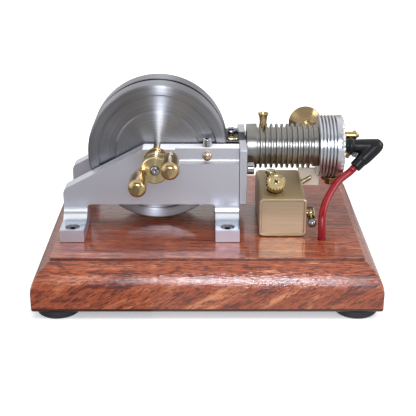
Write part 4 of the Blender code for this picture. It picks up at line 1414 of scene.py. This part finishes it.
@dataclass
class RunningGear:
    """Piston, pins and connecting rod, which show through the frames and the slot."""

    ease: float = 0.15

    def build(self) -> None:
        """Break the edges of each and dress it."""
        for node, body, finish, slot in (
            ("piston", "piston", PLATE, "plate"), ("wrist_pin", "piston", STEEL, "steel"),
            ("con_rod", "con_rod", STEEL, "steel"), ("crank_pin", "con_rod", STEEL, "steel"),
        ):
            fit(eased_copy(node, self.ease, 1), body, finish, slot, node)


@dataclass
class ValveGear:
    """Cam gear, push rod, rocker and the two valves with their retainers."""

    inlet: Point = (0, 2.8, 79.4)
    inlet_end: float = 88.8
    exhaust: Point = (0, 2.6, 68.4)
    exhaust_end: float = 85.3
    exhaust_lift: float = 2.0
    stem: float = 1.2

    def build(self) -> None:
        """Fit the far side's gear, then the valves on the head."""
        for node, body, finish, slot, ease in (
            ("cam_gear", "cam", BRIGHT_BRASS, "brass", 0.08), ("cam_post", "engine", STEEL, "steel", 0.2),
            ("pushrod", "pushrod", STEEL, "steel", 0.15), ("pushrod_guide", "engine", PLATE, "plate", 0.3),
            ("rocker_arm", "rocker", PLATE, "plate", 0.25), ("rocker_bracket", "engine", PLATE, "plate", 0.25),
        ):
            fit(eased_copy(node, ease), body, finish, slot, node)
        self.build_valve("exhaust_valve", self.exhaust, self.exhaust_end, self.exhaust_lift)
        self.build_valve("inlet_valve", self.inlet, self.inlet_end, 0.0)

    def build_valve(self, name: str, spot: Point, end: float, lift: float) -> None:
        """A poppet valve with its sleeve and retainer.

        Args:
            name: the valve's node and body.
            spot: a point on its line.
            end: where its stem ends.
            lift: how far open it is at rest.
        """
        shut, flange, stem = HEAD_X + 0.9 - lift, end - 2.2, self.stem
        profile = [
            (0, shut - 1.2), (2.4, shut - 1.2), (2.4, shut - 0.6), (stem, shut), (stem, HEAD_END + 2.6),
            (2.3, HEAD_END + 2.6), (2.3, flange - 1.0), (3.0, flange - 1.0), (3.0, flange + 0.4),
            (1.9, flange + 0.7), (1.9, flange + 1.2), (stem, flange + 1.3), (stem, end), (0, end),
        ]
        brass = brass_about(name, Axis.X, spot)
        turned(name, profile, spot, Axis.X, brass, body=name, steps=36, ease=0.15)


@dataclass
class Carburettor:
    """Carburettor, horn, needle and exhaust stub."""

    horn_x: float = 61.8
    port_x: float = 70.9
    stub_x: float = 72.6
    stub_top: float = -18.3
    barrel_y: float = 27.0
    collar: float = 37.5

    def build(self) -> None:
        """Turn the horn, the needle and the stub, and fit the body."""
        fit(eased_copy("carburettor_body", 0.25), "engine", BRIGHT_BRASS, "brass", "carburettor_body")
        low = self.collar + 0.1
        horn = [
            (2.2, low), (4.4, low), (4.6, low + 1.2), (5.1, low + 2.8), (6.2, low + 4.7), (7.5, low + 6.5),
            (8.9, low + 8.1), (10.1, low + 9.3), (10.4, low + 9.8), (10.3, low + 10.4), (9.8, low + 10.4),
            (8.4, low + 8.7), (6.9, low + 6.9), (5.5, low + 5.2), (4.2, low + 3.3), (3.0, low + 1.4),
        ]
        at = (self.horn_x, 0, AXIS_Z)
        shaded = brass_about("bell", Axis.Y, at, 0.55, "#86704c", "#a99373")
        turned("intake_bell", horn, at, Axis.Y, shaded, steps=96, ease=0.5)
        start = self.port_x + 5.8
        turned("needle_screw", [
            (0, start - 3.5), (1.5, start - 3.5), (1.5, start + 1.2), (3.4, start + 1.6), (3.4, start + 5.4),
            (2.8, start + 6.0), (0, start + 6.0),
        ], (0, self.barrel_y, AXIS_Z), Axis.X, BRIGHT_BRASS, body="needle",
            flutes=(0.22, start + 1.9, start + 5.2, 3.0))
        at, top = (self.stub_x, 0, AXIS_Z), self.stub_top
        tarnished = brass_about("exhaust", Axis.Z, at, tone="#6f5036", pale="#8f6b49")
        turned("exhaust_pipe", [
            (2.0, top - 5.0), (2.8, top - 5.0), (3.1, top - 4.5), (3.1, top - 2.1), (5.4, top - 1.9),
            (5.4, top), (2.0, top),
        ], at, Axis.Z, tarnished, ease=0.3)


@dataclass
class FuelTank:
    """The brass tank with its filler, cap, vent, outlet and tap."""

    neck: Point = (38.6, -22.0, 54.7)
    vent: Point = (37.6, 2.0, 54.7)
    wall: float = 55.7
    tap: Point = (58.8, -28.5, 43.0)
    neck_long: float = 7.2
    cap_radius: float = 5.7
    cap_thick: float = 3.4
    ball: float = 2.6
    rim: float = 1.3
    sink: float = 0.35

    def build(self) -> None:
        """Round the tank's edges and turn its fittings."""
        self.build_tank()
        self.build_filler()
        # The vent and the outlet sit in the shade of the barrel and the lug; their brass is painted paler, as a
        # painted highlight
        pale = brass_about("vent", Axis.Z, self.vent, 0.0, "#e9d7ae", "#fdf1d2")
        vent = [(0, 0.1), (2.3, 0.1), (2.3, 1.5), (3.4, 1.7), (3.4, 2.9), (3.0, 3.4), (0, 3.4)]
        turned("tank_vent", vent, self.vent, Axis.Z, pale, steps=40)
        outlet = [(0, 0.6), (1.5, 0.6), (1.5, 6.6), (1.2, 7.0), (0.8, 7.0), (0.8, 5.0), (0, 5.0)]
        spot = (self.wall, 0.0, self.neck[2] - 3.6)
        turned("fuel_outlet", outlet, spot, Axis.OUTLET, pale, steps=32, ease=0.2)
        self.build_tap()

    def build_tank(self) -> None:
        """Sink the tank's front a little inside its rim, and part the paler lug from it."""
        tank = eased_copy("fuel_tank", 0.45, 3)
        wall = self.wall * MM
        fronts = [face for face in tank.data.polygons if face.normal.y < -0.99 and face.center.x < wall]
        plane = min(face.center.y for face in fronts) + 0.1 * MM
        with editing(tank, lambda face: face.normal.y < -0.99 and face.center.y < plane):
            bpy.ops.mesh.inset(thickness=self.rim * MM)
            bpy.ops.mesh.inset(thickness=self.sink * MM, depth=-self.sink * MM)
        with editing(tank, lambda face: face.center.x > wall + 0.3 * MM):
            bpy.ops.mesh.separate(type="SELECTED")
        lug = next(o for o in bpy.context.selected_objects if o is not tank)
        lug.name = lug.data.name = "tank_lug_fine"
        fit(even_shading(tank), "engine", SHEET_BRASS, "tank", "fuel_tank")
        # The lug's brass is a paler sheet, painted almost white as a painted highlight
        fit(lug, "engine", LIT_LUG_BRASS, "tank")

    def build_filler(self) -> None:
        """The neck, the notched cap and the black seal in its middle."""
        n, r, top = self.neck_long, self.cap_radius, self.neck_long + self.cap_thick
        at, axis = self.neck, Axis.FILLER
        brass = brass_about("filler", axis, at, 0.0, "#b39d6d", "#e0cda0")
        neck = [(2.6, -5.0), (4.2, -5.0), (4.2, n - 2.2), (4.8, n - 2.0), (4.8, n - 0.1), (2.6, n - 0.1)]
        turned("filler_neck", neck, at, axis, brass, ease=0.2)
        turned("filler_cap", [
            (0, n), (r - 0.4, n), (r, n + 0.4), (r, top - 0.5), (r - 0.6, top), (3.9, top), (3.5, top - 0.25),
            (1.6, top - 0.25), (1.3, top), (0.9, top), (0.9, n + 1.0), (0, n + 1.0),
        ], at, axis, brass, body="filler_cap", steps=80, ease=0.2, flutes=(0.8, n + 0.1, top + 0.1, r - 0.9, 4))
        seal = [(0, n + 1.0), (0.88, n + 1.0), (0.88, top - 0.5), (0.4, top - 0.4), (0, top - 0.4)]
        fit(lathe("filler_cap_seal", seal, at, axis, 24), "filler_cap", FOOT_RUBBER, "rubber")

    def build_tap(self) -> None:
        """The tap's body and its ball-ended spindle."""
        body = eased([(0, -2.6), (2.8, -2.6), (2.8, 2.2), (2.2, 2.6), (2.2, 4.0), (0, 4.0)], 0.25)
        tap = lathe("fuel_tap_body_fine", body, self.tap, Axis.TAP, 40)
        stem = eased([(0, -3.0), (2.6, -3.0), (2.6, 0), (0, 0)], 0.2)
        join(tap, lathe("fuel_tap_stem", stem, self.tap, Axis.X, 32), Joined.ADDS)
        fit(smooth(tap), "engine", BRIGHT_BRASS, "brass", "fuel_tap_body")
        end = arc((0, 8.8), (self.ball, self.ball), range(-60, 90, 12))
        ball = [(0, 4.1), (1.2, 4.1), (1.2, 6.4), *end, (0, 11.4)]
        turned("fuel_tap_spindle", ball, self.tap, Axis.TAP, STEEL, "steel", "tap", 40, 0.0)


@dataclass
class Studio:
    """A pale floor, a soft key lamp above the camera, weak fills, and grey flags that the metal reflects."""

    floor: float = 3.0
    ambient: float = 0.6
    aim: Point = (0.0, 0.0, 0.06)
    streaked: tuple[str, ...] = ("flywheel_near_fine", "flywheel_far_fine", "starter_hub_fine")

    def build(self) -> None:
        """Light the object plainly against white."""
        bpy.context.scene.view_settings.view_transform = "Standard"
        self.build_world()
        self.build_floor()
        # Places and sizes are metres, and the last value says whether gloss shows the lamp
        for name, place, aim, size, watts, tone, mirrored in (
            ("key_softbox", (0.08, -1.25, 0.62), self.aim, (0.36, 0.42), 7.0, "#ecf3ff", True),
            ("wheel_softbox", (-0.03, -1.25, 0.62), self.aim, (0.1, 0.42), 6.5, "#ecf3ff", True),
            ("top_softbox", (0.3, -0.05, 1.4), (0.3, -0.05, 0.06), (1.5, 1.3), 12.0, "#ffffff", False),
            ("left_softbox", (-1.1, -0.2, 0.7), self.aim, (0.6, 0.6), 0.6, "#ffffff", True),
            ("right_softbox", (1.1, -0.2, 0.7), self.aim, (0.6, 0.6), 4.5, "#ffffff", True),
        ):
            data = bpy.data.lights.new(name, "AREA")
            data.shape, data.energy, data.color = "RECTANGLE", watts, linear(tone)[:3]
            data.size, data.size_y = size
            lamp = add_object(name, data)
            lamp.location, lamp.visible_glossy = place, mirrored
            lamp.rotation_euler = (Vector(aim) - Vector(place)).to_track_quat("-Z", "Y").to_euler()
        for name, alone in (("wheel_softbox", True), ("key_softbox", False), ("right_softbox", False)):
            self.keep_to(name, alone)
        # Places and sizes are metres, and the tip is degrees up from level
        for name, place, size, tip, tone in (
            ("ceiling_flag", (0.2, -0.05, 1.4), (2.0, 1.3), 0.0, "#eaeaea"),
            ("back_flag", (0.5, 1.3, 0.6), (0.8, 0.8), 90.0, "#b4b4b4"),
            ("back_floor_flag", (0.6, 0.8, 0.002), (1.1, 1.4), 0.0, "#7a7a7a"),
            ("upper_flag", (0.0, -0.95, 1.15), (2.4, 0.56), 40.0, "#3c3c3c"),
            ("left_floor_flag", (-0.78, 0.0, 0.001), (1.5, 3.0), 0.0, "#8a8a8a"),
            ("right_floor_flag", (0.72, 0.0, 0.001), (1.5, 3.0), 0.0, "#d6d6d6"),
            ("front_flag", (0.0, -1.8, 0.4), (3.0, 0.8), 90.0, "#767676"),
        ):
            self.build_flag(name, place, size, tip, tone)

    def keep_to(self, lamp: str, alone: bool) -> None:
        """Light the turned faces by a narrow lamp of their own, so that their streak stays narrow.

        Args:
            lamp: the lamp's name.
            alone: whether it lights these pieces alone, or all the others.
        """
        group = bpy.data.collections.new(f"{lamp}_receivers")
        for name in self.streaked:
            group.objects.link(bpy.data.objects[name])
        for row in group.collection_objects:
            row.light_linking.link_state = "INCLUDE" if alone else "EXCLUDE"
        bpy.data.objects[lamp].light_linking.receiver_collection = group

    def build_world(self) -> None:
        """White to the eye and in reflections, softer as light."""
        world = bpy.data.worlds.new("studio")
        world.use_nodes = True
        tree = world.node_tree
        strength = add_node(tree, "MapRange", {"Value": shown_rays(tree), "To Min": self.ambient})
        plug(tree, tree.nodes["Background"], {"Color": linear("#ffffff"), "Strength": strength})
        bpy.context.scene.world = world

    def build_floor(self) -> None:
        """A white sheet that keeps the object's shadow."""
        bpy.ops.object.select_all(action="DESELECT")
        bpy.ops.mesh.primitive_plane_add(size=self.floor * 2, location=(0, 0, 0))
        sheet = bpy.context.object
        sheet.name = "floor"
        paper = FloorPaper("white_floor_paper", "#f2f2f2", 0.9)
        sheet.data.materials.append(paper.material())

    def build_flag(self, name: str, place: Point, size: Pair, tip: float, tone: str) -> None:
        """A felt flag out of the camera's sight, which only gloss shows.

        Args:
            name: the flag's name.
            place: its middle, in metres.
            size: its width and height in metres.
            tip: how far it is tipped up, in degrees.
            tone: its colour.
        """
        bpy.ops.object.select_all(action="DESELECT")
        bpy.ops.mesh.primitive_plane_add(size=1.0, location=place, rotation=(math.radians(tip), 0, 0))
        flag = bpy.context.object
        flag.name, flag.scale = name, (*size, 1.0)
        flag.visible_camera = flag.visible_diffuse = flag.visible_shadow = False
        felt = FlagFelt(f"{name}_felt", "#000000", 1.0, glow=tone)
        flag.data.materials.append(felt.material())


def main() -> None:
    """Build every sub-assembly in order."""
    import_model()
    for group in (
        View(), Ignition(), Plinth(), SideFrames(), EndPlate(), Cylinder(), Crank(), RunningGear(), ValveGear(),
        Carburettor(), FuelTank(), Studio(),
    ):
        group.build()
        LOG.info("%s is built", type(group).__name__)


if __name__ == "__main__":
    logging.basicConfig(level=logging.INFO)
    main()
